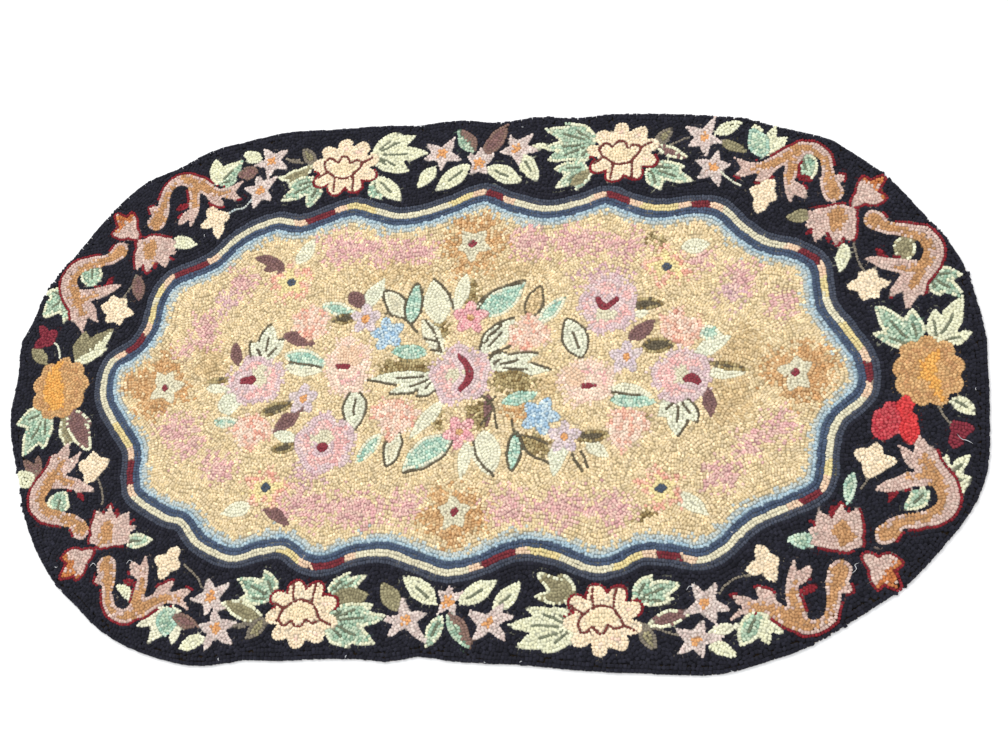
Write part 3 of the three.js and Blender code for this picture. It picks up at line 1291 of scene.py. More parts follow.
class LeafKind(Enum):
    """The kinds of leaf in the rug."""

    MINT = LeafWool((Y.MINT,), Y.VEIN, rim=Y.IVORY)
    PALE_MINT = LeafWool((Y.SAGE, Y.MINT))
    IVORY = LeafWool((Y.IVORY,))
    VEINED = LeafWool((Y.IVORY,), Y.VEIN)
    HALF_MINT = LeafWool((Y.IVORY,), Y.VEIN, half=Y.MINT)
    OLIVE = LeafWool((Y.OLIVE,))
    EDGED_OLIVE = LeafWool((Y.OLIVE,), rim=Y.IVORY)
    BENT_OLIVE = LeafWool((Y.OLIVE,), rim=Y.IVORY, bow=0.12)
    BROWN = LeafWool((Y.BROWN, Y.PLUM))
    EDGED_BROWN = LeafWool((Y.PLUM,), rim=Y.IVORY)
    DRAB = LeafWool((Y.DRAB, Y.OLIVE))
    OLIVE_IVORY = LeafWool((Y.OLIVE,), half=Y.IVORY)
    BROWN_MINT = LeafWool((Y.BROWN,), half=Y.MINT)
    MINT_BROWN = LeafWool((Y.MINT,), half=Y.BROWN)
    SPRIG_MINT = LeafWool((Y.SAGE,))
    LINED_MINT = LeafWool((Y.SAGE,), around=Y.DARK_LINE)
    BROAD_MINT = LeafWool((Y.SAGE,), around=Y.DARK_LINE, rim=Y.PALE_LEAF, bow=-0.06, side=1)
    CREAM_MINT = LeafWool((Y.SAGE,), rim=Y.PALE_LEAF)
    CHALK = LeafWool((Y.CHALK,))
    LINED_CHALK = LeafWool((Y.CHALK,), Y.DARK_LINE, Y.DARK_LINE)
    SIDE_CHALK = LeafWool((Y.CHALK,), Y.DARK_LINE, Y.DARK_LINE, side=1)
    CREAM = LeafWool((Y.PALE_LEAF,))
    LINED_CREAM = LeafWool((Y.PALE_LEAF, Y.CREAM), around=Y.DARK_LINE)
    MOSS = LeafWool((Y.MOSS,), soft=4.0)
    LINED_FAWN = LeafWool((Y.FAWN,), around=Y.DARK_LINE)
    PLUM = LeafWool((Y.PLUM,))
    SPRIG_DRAB = LeafWool((Y.DARK_LINE,), rim=Y.MOSS)


@dataclass(frozen=True)
class Leaf:
    """A leaf of one or more lobes that share a foot; each tip has the lobe's width."""

    kind: LeafKind
    foot: Point
    tips: tuple[Tip, ...]

    def draw(self, plan: Plan, piece: Piece) -> None:
        """Lays the row around the leaf, the leaf, its other half and its veins."""
        wool = self.kind.value
        lobes = [Blade(self.foot, (x, y), width, wool.bow) for x, y, width in self.tips]
        whole = Cluster(tuple(lobes))
        if wool.around is not None:
            x, y, _ = self.tips[0]
            left = (wool.side * (self.foot[1] - y), wool.side * (x - self.foot[0]))
            plan.outline(whole, wool.around, piece, left if wool.side else None, LINE_PITCH)
        label = plan.lay(whole, Fill(wool.rows, piece, wool.soft))
        if wool.rim is not None:
            plan.tinge(whole, wool.rim, (label,), deep=RIM)
        if wool.half is not None:
            halves = [Blade(b.foot, b.tip, b.width, b.bow, b.full, -1) for b in lobes]
            plan.tinge(Cluster(tuple(halves)), wool.half, (label,))
        if wool.vein is not None:
            for x, y, _ in self.tips:
                start = self.along(0.22, x, y)
                plan.line((start, self.along(0.42, x, y), self.along(0.62, x, y)), wool.vein, piece)

    def along(self, share: float, x: float, y: float) -> Point:
        """The point a share of the way from the foot to a tip."""
        return self.foot[0] + share * (x - self.foot[0]), self.foot[1] + share * (y - self.foot[1])


def leaves_of(*rows: tuple) -> tuple[Leaf, ...]:
    """Leaves from rows that each give a kind, the foot's x and y, and the tips."""
    return tuple(Leaf(kind, (x, y), tuple(tips)) for kind, x, y, *tips in rows)


@dataclass(frozen=True)
class Star:
    """A star flower: pointed arms from one middle."""

    middle: Point
    tips: tuple[Point, ...]
    width: float = 18.0

    def draw(self, plan: Plan, piece: Piece) -> None:
        """Lays the arms, each widest near the middle, as one patch, and tinges the middle."""
        arms = []
        for x, y in self.tips:
            foot = (self.middle[0] - 0.25 * (x - self.middle[0]), self.middle[1] - 0.25 *
                (y - self.middle[1]))
            arms.append(Blade(foot, (x, y), self.width, full=0.36))
        label = plan.lay(Cluster(tuple(arms)), Fill((Y.STAR,), piece, soft=1.2))
        plan.tinge(Rosette(*self.middle, 8.5, 8.5, 5, 0.4), Y.AMBER, (label,))


@dataclass(frozen=True)
class Rose:
    """A border rose: round petals, a shaded row on its low side, and a scalloped heart drawn in rust."""

    x: float
    y: float
    up: int = 1

    heart: tuple[Point, ...] = ((-37, 8), (-33, -3), (-23, -13), (-9, -20), (6, -20), (18, -12), (27, 5),
        (17, 12), (8, 7), (2, 17), (-8, 18), (-15, 9), (-23, 16), (-30, 16), (-37, 8))
    folds: tuple[tuple[Point, Point], ...] = (((-15, -20), (-17, -46)), ((14, -18), (17, -46)),
        ((28, 6), (46, 14)), ((-30, -8), (-46, -18)))

    def draw(self, plan: Plan, piece: Piece) -> None:
        """Lays the petals, the heart and the drawn lines; up -1 turns the rose upside down."""
        petals = Rosette(self.x, self.y, 58, 51, 9, 0.3, 2.2, 0.25 * self.up)
        low = self.y - self.up * 62
        side = self.y - self.up * 18
        shaded = Trail(((self.x - 58, side, 26), (self.x, low, 78), (self.x + 58, side, 26)))
        plan.outline(petals, Y.RED, piece, near=shaded)
        plan.lay(petals, Fill((Y.ROSE_CREAM, Y.ROSE_CREAM, Y.SHELL), piece))
        plan.lay(Rosette(self.x - 3, self.y - 3 * self.up, 24, 13, 5, 0.12), Fill((Y.ROSE_HEART,), piece))
        for line in (self.heart, *self.folds):
            plan.line([(self.x + x, self.y + self.up * y) for x, y in line], Y.RUST, piece)


@dataclass(frozen=True)
class Carnation:
    """An orange flower at an end of the border: a frilled edge and a bright streak through its middle."""

    x: float
    y: float
    streak: tuple[Tip, ...]

    def draw(self, plan: Plan, piece: Piece) -> None:
        """Lays the frilled flower and tinges the streak."""
        frill = Cluster((Rosette(self.x, self.y, 50, 54, 9, 0.17, 2.6, 0.2),
            Rosette(self.x, self.y, 44, 46, 5, 0.1)))
        label = plan.lay(frill, Fill((Y.ORANGE, Y.ORANGE, Y.TAN, Y.ORANGE), piece, soft=2.0))
        plan.tinge(Trail(self.streak), Y.BRIGHT_AMBER, (label,))


@dataclass(frozen=True)
class Lobes:
    """A flower or bud of pointed or round lobes round a middle."""

    middle: Point
    tips: tuple[Tip, ...]
    yarn: Yarn
    core: float = 12.0
    full: float = 0.5

    def draw(self, plan: Plan, piece: Piece) -> None:
        """Lays the lobes and the round middle as one patch."""
        parts: list[Shape] = [Blade(self.middle, (x, y), width, full=self.full) for x, y,
            width in self.tips]
        parts.append(Rosette(*self.middle, self.core, self.core, 5, 0.1))
        plan.lay(Cluster(tuple(parts)), Fill((self.yarn,), piece))


@dataclass(frozen=True)
class Scroll:
    """An acanthus scroll: bands that curl and taper, side lobes, small red barbs, and tan cores in its
    blush wool.

    Its edge has a red row wherever one of the shaded trails runs.
    """

    bands: tuple[tuple[Tip, ...], ...]
    lobes: tuple[tuple[Point, Tip], ...]
    barbs: tuple[tuple[Point, Tip], ...]
    cores: tuple[tuple[Tip, ...], ...]
    shaded: tuple[tuple[Tip, ...], ...]
    core: Yarn = Y.TAN

    def placed(self, flip_x: int, flip_y: int, dx: float, dy: float) -> "Scroll":
        """The scroll mirrored into another corner and shifted there.

        Args:
            flip_x: 1, or -1 to mirror left and right.
            flip_y: 1, or -1 to mirror up and down.
            dx: the shift along x after mirroring.
            dy: the shift along y after mirroring.

        Returns:
            The new scroll.
        """

        def moved(lines: tuple[tuple[tuple[float, ...], ...], ...]) -> tuple:
            """The lines with every point in its new place, its width unchanged."""
            return tuple(tuple((p[0] * flip_x + dx, p[1] * flip_y + dy, *p[2:]) for p in line) for line
                in lines)

        parts = (self.bands, self.lobes, self.barbs, self.cores, self.shaded)
        return Scroll(*(moved(part) for part in parts), self.core)

    def draw(self, plan: Plan, piece: Piece) -> None:
        """Lays the red edge and barbs, then the scroll, and tinges its cores."""
        parts: list[Shape] = [Trail(band) for band in self.bands]
        parts += [Blade(foot, (tip[0], tip[1]), tip[2]) for foot, tip in self.lobes]
        whole = Cluster(tuple(parts))
        plan.outline(whole, Y.RED, piece, near=Cluster(tuple(Trail(line) for line in self.shaded)))
        for foot, tip in self.barbs:
            plan.lay(Blade(foot, (tip[0], tip[1]), tip[2]), Fill((Y.RED,), piece))
        label = plan.lay(whole, Fill((Y.BLUSH,), piece, soft=2.1))
        plan.tinge(Cluster(tuple(Trail(line) for line in self.cores)), self.core, (label,), spread=1.2)


ARCH = Scroll(bands=(((-550, 286, 33), (-543, 304, 24), (-542, 328, 19), (-534, 351, 18), (-512, 363, 19),
    (-496, 356, 23), (-488, 328, 20), (-486, 300, 17), (-487, 273, 5)), ((-505, 361, 22), (-478, 349, 25),
    (-450, 334, 20), (-427, 336, 15), (-404, 352, 4))), lobes=(((-440, 335), (-403, 322, 16)),
    ((-490, 306), (-511, 277, 18)), ((-466, 334), (-434, 309, 18)), ((-548, 302), (-567, 312, 17))),
    barbs=(((-494, 316), (-521, 306, 12)), ((-498, 300), (-516, 294, 8))),
    cores=(((-551, 284, 23), (-546, 300, 17), (-541, 322, 10), (-538, 340, 9), (-524, 356, 6)),
    ((-514, 364, 8), (-496, 359, 15), (-474, 347, 14), (-450, 335, 10), (-426, 334, 5)),
    ((-492, 344, 12), (-487, 318, 10), (-487, 296, 3))),
    shaded=(((-574, 296, 14), (-562, 330, 18), (-546, 362, 18), (-505, 380, 18), (-468, 364, 16),
    (-436, 348, 8)), ((-466, 312, 14), (-436, 302, 14), (-403, 316, 12)),
    ((-503, 338, 10), (-502, 318, 10))))
SPADE = Scroll(bands=(((-573, 249, 16), (-552, 247, 24), (-528, 247, 20), (-514, 250, 8)),),
    lobes=(((-558, 262), (-574, 200, 30)), ((-551, 262), (-553, 194, 28)), ((-545, 260), (-521, 203, 30)),
    ((-545, 250), (-505, 226, 22))), barbs=(((-562, 218), (-563, 198, 8)), ((-540, 218), (-541, 196, 9)),
    ((-524, 226), (-506, 214, 6))), cores=(((-555, 246, 20), (-554, 236, 26), (-552, 222, 10)),),
    shaded=(((-590, 262, 20), (-588, 230, 20), (-584, 198, 16)), ((-580, 267, 14), (-545, 266, 14),
    (-508, 262, 10)), ((-568, 196, 9), (-520, 196, 9))))
FAN = Scroll(bands=(((-622, 300, 8), (-606, 284, 22), (-592, 270, 20), (-582, 262, 10)),),
    lobes=(((-596, 266), (-597, 306, 20)), ((-592, 268), (-629, 270, 22))), barbs=(),
    cores=(((-596, 302, 9), (-608, 292, 8), (-622, 300, 9)), ((-622, 300, 8), (-612, 284, 8),
    (-627, 270, 9))), shaded=(((-600, 285, 90), (-603, 288, 90)),), core=Y.COPPER)
SIDE_SCROLL = Scroll(bands=(((-609, 237, 30), (-626, 222, 22), (-655, 217, 22), (-681, 208, 26),
    (-693, 188, 28), (-688, 166, 30), (-676, 148, 30), (-662, 122, 24), (-654, 94, 5)),
    ((-674, 156, 26), (-642, 160, 22), (-616, 169, 16), (-598, 174, 5))),
    lobes=(((-668, 150), (-676, 111, 22)), ((-660, 150), (-630, 110, 18))),
    barbs=(((-630, 164), (-611, 192, 12)), ((-656, 142), (-628, 107, 12))),
    cores=(((-609, 236, 22), (-624, 224, 14), (-650, 215, 11), (-674, 206, 12), (-685, 188, 14),
    (-682, 168, 15), (-672, 148, 15), (-663, 126, 8)), ((-664, 152, 10), (-640, 158, 7))),
    shaded=(((-628, 244, 16), (-655, 236, 16), (-690, 228, 18), (-712, 202, 16), (-708, 174, 18),
    (-696, 148, 18), (-686, 120, 14)), ((-640, 176, 10), (-660, 180, 8))))
CORNERS = (
    # flip_x, flip_y, then the shift of the arch, the spade, the fan and the side scroll
    (1, 1, (0, 0), (0, 0), (0, 0), (0, 0)),
    (-1, 1, (-2, -4), (0, 0), (-4, 0), (-4, -2)),
    (1, -1, (2, -9), (-3, -5), (3, -12), (8, -2)),
    (-1, -1, (2, -8), (2, -4), (6, -12), (5, -4)),
)

K = LeafKind


@dataclass(frozen=True)
class Garland:
    """The border's leaves, flowers and scrolls on the dark ground, each drawn after the last."""

    leaves: tuple[Leaf, ...] = leaves_of((K.IVORY, -450, 350, (-460, 398, 27)),
        (K.HALF_MINT, -448, 350, (-410, 392, 36), (-414, 357, 22)), (K.IVORY, -524, 250, (-470, 242, 25)),
        (K.MINT, -658, 214, (-650, 172, 40)), (K.MINT, -688, 166, (-735, 165, 26), (-733, 122, 38),
        (-691, 108, 22)), (K.BROWN, -571, 192, (-559, 143, 23)), (K.OLIVE, -710, 40, (-741, 69, 22)),
        (K.OLIVE, -655, 40, (-647, 97, 28)), (K.OLIVE_IVORY, -652, 38, (-600, 99, 34)),
        (K.IVORY, -664, 36, (-603, 63, 17)), (K.MINT, -694, -42, (-745, -66, 34), (-724, -118, 38),
        (-691, -107, 30)), (K.EDGED_OLIVE, -662, -44, (-645, -108, 28)),
        (K.EDGED_BROWN, -656, -42, (-606, -111, 34), (-611, -68, 22)),
        (K.BROWN, -688, -158, (-724, -121, 17), (-697, -112, 14)), (K.IVORY, -692, -166, (-729, -144, 26),
        (-736, -162, 12)), (K.MINT, -650, -216, (-642, -174, 40)), (K.MINT, -526, -256, (-477, -254, 24)),
        (K.CREAM, -424, -356, (-485, -388, 26), (-462, -413, 28), (-420, -416, 24)),
        (K.PALE_MINT, -438, -356, (-434, -402, 34)), (K.IVORY, -488, -348, (-528, -322, 18)),
        (K.BROWN, -384, -386, (-429, -369, 21)), (K.IVORY, -371, -400, (-412, -419, 21)),
        (K.EDGED_OLIVE, -350, -348, (-274, -376, 28)), (K.DRAB, -274, -369, (-308, -403, 23)),
        (K.DRAB, -297, -379, (-338, -386, 9)), (K.MINT, -270, -342, (-287, -299, 27), (-331, -311, 30),
        (-324, -342, 21)), (K.MINT, -184, -338, (-154, -299, 21), (-126, -304, 21)),
        (K.OLIVE, -182, -343, (-120, -334, 28)), (K.MINT, -186, -374, (-145, -349, 26), (-112, -347, 28),
        (-88, -366, 28), (-104, -406, 34), (-141, -413, 32)), (K.OLIVE, -73, -357, (-104, -315, 28)),
        (K.VEINED, -18, -346, (-73, -304, 30)), (K.MINT, -7, -362, (-31, -412, 26)),
        (K.VEINED, 14, -346, (71, -311, 30)), (K.BROWN_MINT, 0, -358, (38, -412, 28)),
        (K.VEINED, 67, -356, (106, -314, 28)), (K.VEINED, 188, -376, (112, -349, 28), (148, -349, 26),
        (87, -374, 27), (103, -406, 30), (141, -413, 30)), (K.EDGED_OLIVE, 184, -336, (127, -299, 26),
        (160, -298, 24), (126, -332, 22)), (K.MINT, 270, -336, (294, -299, 24), (336, -311, 30),
        (326, -336, 20)), (K.EDGED_BROWN, 290, -372, (352, -351, 25)),
        (K.DRAB, 277, -368, (304, -409, 22)), (K.CREAM, 374, -382, (416, -369, 18)),
        (K.IVORY, 374, -394, (416, -413, 21)), (K.IVORY, 436, -352, (477, -380, 24), (458, -397, 22)),
        (K.MINT, 442, -348, (419, -401, 32)), (K.PALE_MINT, 526, -252, (479, -248, 24)),
        (K.PALE_MINT, 571, -152, (562, -202, 18)), (K.MINT, 674, -178, (638, -208, 28)),
        (K.IVORY, 694, -190, (730, -162, 20)), (K.VEINED, 690, -172, (730, -125, 20), (731, -160, 18),
        (697, -126, 18)), (K.VEINED, 706, -44, (741, -71, 22)), (K.MINT, 662, 32, (604, 98, 36),
        (601, 57, 24), (656, 93, 30)), (K.VEINED, 690, 36, (728, 108, 32), (687, 90, 26), (741, 53, 22)),
        (K.MINT, 678, 146, (729, 141, 24), (731, 105, 24), (699, 108, 24)),
        (K.IVORY, 440, 348, (464, 398, 26), (482, 380, 22), (432, 408, 26)),
        (K.PALE_MINT, 446, 346, (426, 398, 34)), (K.MINT, 500, 352, (514, 300, 42)),
        (K.OLIVE, 522, 247, (476, 243, 22)), (K.EDGED_OLIVE, 650, 208, (647, 163, 34)),
        (K.IVORY, 565, 198, (557, 150, 20)), (K.IVORY, -376, 389, (-411, 406, 24)),
        (K.BROWN, -381, 371, (-416, 364, 24)), (K.DRAB, -281, 376, (-306, 409, 22)),
        (K.DRAB, -300, 380, (-336, 391, 9)), (K.BENT_OLIVE, -281, 377, (-347, 355, 23)),
        (K.MINT, -272, 346, (-326, 340, 26), (-336, 312, 26), (-285, 299, 28)),
        (K.VEINED, -184, 388, (-137, 427, 30), (-112, 421, 30), (-88, 386, 30), (-117, 355, 30),
        (-143, 356, 24)), (K.MINT, -178, 342, (-160, 306, 32)), (K.VEINED, -176, 348, (-125, 303, 28)),
        (K.IVORY, -73, 362, (-104, 323, 24)), (K.VEINED, -18, 360, (-73, 317, 32)),
        (K.MINT_BROWN, -10, 382, (-43, 427, 27)), (K.BROWN, 4, 372, (41, 432, 28)),
        (K.VEINED, 64, 374, (96, 324, 28)), (K.VEINED, 11, 356, (69, 324, 30)),
        (K.IVORY, 74, 380, (107, 392, 15)), (K.MINT, 186, 386, (99, 420, 28), (131, 427, 30),
        (97, 384, 26), (106, 360, 28), (149, 355, 28)), (K.MINT, 176, 346, (118, 346, 24), (122, 311, 24),
        (156, 307, 24)), (K.OLIVE, 176, 340, (146, 314, 18)), (K.DRAB, 279, 376, (304, 407, 22)),
        (K.EDGED_BROWN, 276, 378, (332, 351, 19)), (K.MINT, 268, 340, (329, 336, 25), (339, 311, 26),
        (290, 299, 27)), (K.IVORY, 370, 391, (411, 409, 22)), (K.OLIVE, 376, 380, (421, 356, 16)))
    stems: tuple[tuple[Yarn, tuple[Point, ...]],
        ...] = ((Y.ICE, ((-427, 294), (-415, 301), (-398, 304), (-384, 318), (-378, 330))),
        (Y.DRAB, ((-573, 190), (-580, 166), (-592, 146))), (Y.CHALK, ((-702, 76), (-692, 64), (-686, 44))),
        (Y.DRAB, ((-420, -292), (-398, -308), (-385, -326))),
        (Y.DRAB, ((-587, -152), (-577, -172), (-570, -196))),
        (Y.DRAB, ((430, -300), (410, -306), (386, -326))), (Y.DRAB, ((297, -376), (335, -386))),
        (Y.DRAB, ((592, -160), (581, -178))), (Y.DRAB, ((690, -60), (705, -84))),
        (Y.CHALK, ((380, 326), (394, 312), (412, 299))), (Y.DRAB, ((305, 378), (331, 388))),
        (Y.DRAB, ((576, 198), (582, 172), (592, 150))))
    stars: tuple[Star, ...] = (Star((-357, 388), ((-375, 415), (-330, 408), (-329, 372), (-362, 356),
        (-388, 379))), Star((-374, 335), ((-380, 366), (-344, 361), (-348, 314), (-381, 300),
        (-404, 341))), Star((-66, 383), ((-93, 404), (-44, 413), (-31, 369), (-65, 353), (-96, 374))),
        Star((-3, 362), ((-24, 380), (-1, 392), (22, 377), (12, 343), (-16, 342))),
        Star((57, 385), ((45, 410), (84, 412), (96, 379), (62, 353), (29, 379))),
        Star((354, 387), ((324, 409), (371, 421), (329, 372), (358, 350), (382, 374))),
        Star((369, 334), ((375, 364), (338, 349), (344, 314), (379, 299), (396, 336))),
        Star((-370, -341), ((-379, -309), (-339, -319), (-345, -362), (-375, -372), (-402, -344))),
        Star((-356, -388), ((-362, -354), (-324, -377), (-324, -413), (-373, -424), (-387, -385))),
        Star((-62, -370), ((-70, -333), (-29, -359), (-27, -406), (-89, -398), (-97, -370))),
        Star((0, -342), ((-20, -326), (0, -319), (21, -328), (12, -362), (-14, -362)), 15.0),
        Star((61, -372), ((28, -357), (101, -360), (91, -399), (39, -401), (85, -343))),
        Star((370, -341), ((349, -311), (384, -309), (406, -348), (386, -373), (339, -355))),
        Star((357, -391), ((368, -361), (329, -377), (332, -411), (370, -416), (396, -385))))
    trefoils: tuple[Lobes, ...] = (Lobes((-441, 288), ((-462, 307, 24), (-470, 271, 20), (-434, 248, 20),
        (-420, 292, 22)), Y.ROSE_CREAM, 15),
        Lobes((-597, 130), ((-630, 139, 20), (-612, 158, 20), (-585, 151, 18), (-567, 122, 20),
        (-589, 102, 20), (-614, 108, 18)), Y.ROSE_CREAM, 16),
        Lobes((-597, -138), ((-624, -130, 22), (-600, -110, 24), (-570, -124, 24), (-602, -166, 24)),
        Y.ROSE_CREAM, 19), Lobes((-448, -289), ((-432, -263, 22), (-470, -283, 22), (-456, -316, 22),
        (-424, -296, 20)), Y.ROSE_CREAM, 14),
        Lobes((452, -284), ((440, -256, 22), (470, -275, 22), (465, -309, 22), (424, -295, 20)),
        Y.ROSE_CREAM, 14), Lobes((601, -137), ((573, -120, 22), (603, -110, 24), (632, -138, 20),
        (590, -162, 24)), Y.ROSE_CREAM, 19),
        Lobes((597, 130), ((566, 129, 20), (584, 152, 18), (604, 157, 20), (626, 133, 20), (611, 107, 18),
        (588, 104, 20)), Y.ROSE_CREAM, 16),
        Lobes((444, 287), ((424, 294, 20), (437, 251, 22), (465, 272, 22), (461, 309, 22)), Y.ROSE_CREAM,
        15), Lobes((-714, 82), ((-733, 110, 17), (-700, 99, 20), (-737, 71, 20)), Y.WINE, 14),
        Lobes((716, -94), ((736, -88, 20), (705, -120, 20), (706, -80, 18)), Y.WINE, 14),
        Lobes((620, -78), ((598, -74, 34), (604, -106, 34), (640, -50, 36), (642, -92, 26)), Y.CRIMSON,
        22), Lobes((646, -70), ((645, -40, 26), (652, -114, 28), (660, -84, 20)), Y.SCARLET, 10))
    roses: tuple[Rose, ...] = (Rose(-228, 370), Rose(228, 369), Rose(-222, -365, -1), Rose(227, -366, -1))
    carnations: tuple[Carnation,
        ...] = (Carnation(-677, -4, ((-688, 34, 16), (-690, 8, 26), (-684, -20, 34), (-672, -34, 14))),
        Carnation(677, -5, ((688, 20, 12), (676, 0, 22), (684, -28, 16), (696, -48, 8))))

    def draw(self, plan: Plan) -> None:
        """Draws the border, from what lies underneath to what lies on top."""
        for yarn, points in self.stems:
            plan.line(points, yarn, Piece.BORDER_LEAVES)
        for leaf in self.leaves:
            leaf.draw(plan, Piece.BORDER_LEAVES)
        for flip_x, flip_y, arch, spade, fan, side in CORNERS:
            for scroll, shift in ((FAN, fan), (SPADE, spade), (ARCH, arch), (SIDE_SCROLL, side)):
                scroll.placed(flip_x, flip_y, *shift).draw(plan, Piece.BORDER_LEAVES)
        for flower in (*self.stars, *self.trefoils, *self.carnations, *self.roses):
            flower.draw(plan, Piece.BORDER_FLOWERS)


@dataclass(frozen=True)
class Bloom:
    """A full ruffled flower of the bouquet, with a paler patch beside its dark heart.

    patch is the paler part's x, y, half width and half height.
    """

    x: float
    y: float
    wide: float
    high: float
    rows: tuple[Yarn, ...]
    patch: tuple[float, float, float, float]
    heart: tuple[Tip, ...]

    def draw(self, plan: Plan) -> None:
        """Lays the flower, tinges the paler part and lays the heart."""
        ruffle = Cluster((Rosette(self.x, self.y, self.wide, self.high, 5, 0.2, 2.0, 0.5),
            Rosette(self.x, self.y, 0.9 * self.wide, 0.88 * self.high, 7, 0.12)))
        label = plan.lay(ruffle, Fill(self.rows, Piece.BOUQUET, soft=2.6, swirl=0.5))
        plan.tinge(Rosette(*self.patch, 5, 0.2), Y.PEACH if self.rows[0] is Y.SHELL else Y.CREAM, (label,))
        plan.lay(Trail(self.heart), Fill((Y.HEART,), Piece.BOUQUET))


@dataclass(frozen=True)
class Daisy:
    """A daisy of pointed petals: the inner part may differ from the outer, and the eye is dark."""

    middle: Point
    tips: tuple[Point, ...]
    petal: Yarn
    outer: Yarn
    eye: Yarn
    width: float = 17.0
    eye_size: float = 7.0

    def draw(self, plan: Plan) -> None:
        """Lays the petals, tinges the inner part and lays the eye."""
        petals = []
        for x, y in self.tips:
            foot = (self.middle[0] - 0.2 * (x - self.middle[0]), self.middle[1] - 0.2 *
                (y - self.middle[1]))
            petals.append(Blade(foot, (x, y), self.width, full=0.42))
        soft = 2.6 if self.petal is not self.outer else 1.0
        label = plan.lay(Cluster(tuple(petals)), Fill((self.outer,), Piece.BOUQUET, soft))
        if self.petal is not self.outer:
            inner = []
            for x, y in self.tips:
                end = (self.middle[0] + 0.78 * (x - self.middle[0]), self.middle[1] + 0.78 *
                    (y - self.middle[1]))
                inner.append(Blade(self.middle, end, 0.6 * self.width, full=0.35))
            inner.append(Rosette(*self.middle, 15, 15, 5, 0.1))
            plan.tinge(Cluster(tuple(inner)), self.petal, (label,))
        eye = Rosette(*self.middle, self.eye_size, self.eye_size, 4, 0.25)
        plan.lay(eye, Fill((self.eye,), Piece.BOUQUET, soft=0.0))


@dataclass(frozen=True)
class SprigFlower:
    """A small flower with round lobes, and an eye of another colour if it has one."""

    x: float
    y: float
    size: float
    yarn: Yarn
    eye: Yarn | None = None
    eye_size: float = 6.5
    turn: float = 0.3

    def draw(self, plan: Plan) -> None:
        """Lays the flower and its eye."""
        lobes = Rosette(self.x, self.y, 1.1 * self.size, 1.1 * self.size, 5, 0.5, 1.5, self.turn)
        plan.lay(lobes, Fill((self.yarn,), Piece.BOUQUET, soft=1.3))
        if self.eye is not None:
            eye = Rosette(self.x, self.y, self.eye_size, self.eye_size, 5, 0.1)
            plan.lay(eye, Fill((self.eye,), Piece.BOUQUET, soft=0.0))


@dataclass(frozen=True)
class Tulip:
    """A pale flower with upright petals, striped with a stronger colour from its base to each tip."""

    base: Point
    tips: tuple[Tip, ...]

    def draw(self, plan: Plan) -> None:
        """Lays the petals and tinges the stripes down their sides."""
        bx, by = self.base
        tx, ty = self.tips[1][:2]
        petals: list[Shape] = [Blade(self.base, (x, y), width, full=0.55) for x, y, width in self.tips]
        petals.append(Rosette(0.55 * bx + 0.45 * tx, 0.55 * by + 0.45 * ty, 25, 25, 3, 0.05))
        label = plan.lay(Cluster(tuple(petals)), Fill((Y.SHELL,), Piece.BOUQUET, soft=1.8))
        for x, y, width in self.tips:
            length = math.dist(self.base, (x, y))
            across = ((by - y) / length * width * 0.3, (x - bx) / length * width * 0.3)
            for side in (-1, 1):
                mid = ((bx + x) / 2 + side * across[0], (by + y) / 2 + side * across[1])
                stripe = Trail(((bx, by, 4.0), (*mid, 4.5), (x, y, 4.0)))
                plan.tinge(stripe, Y.CORAL, (label,))


# The rows of a full flower, and the inner part, outer part and eye of a daisy
RUFFLED = (Y.MAUVE, Y.MAUVE, Y.BLOOM_PINK)
SHELL_PINK = (Y.SHELL, Y.SHELL, Y.SHELL, Y.BLOOM_PINK)
YELLOW_PETALS = (Y.YELLOW, Y.CORAL, Y.INK)
CREAM_PETALS = (Y.CREAM, Y.CREAM, Y.HEART)


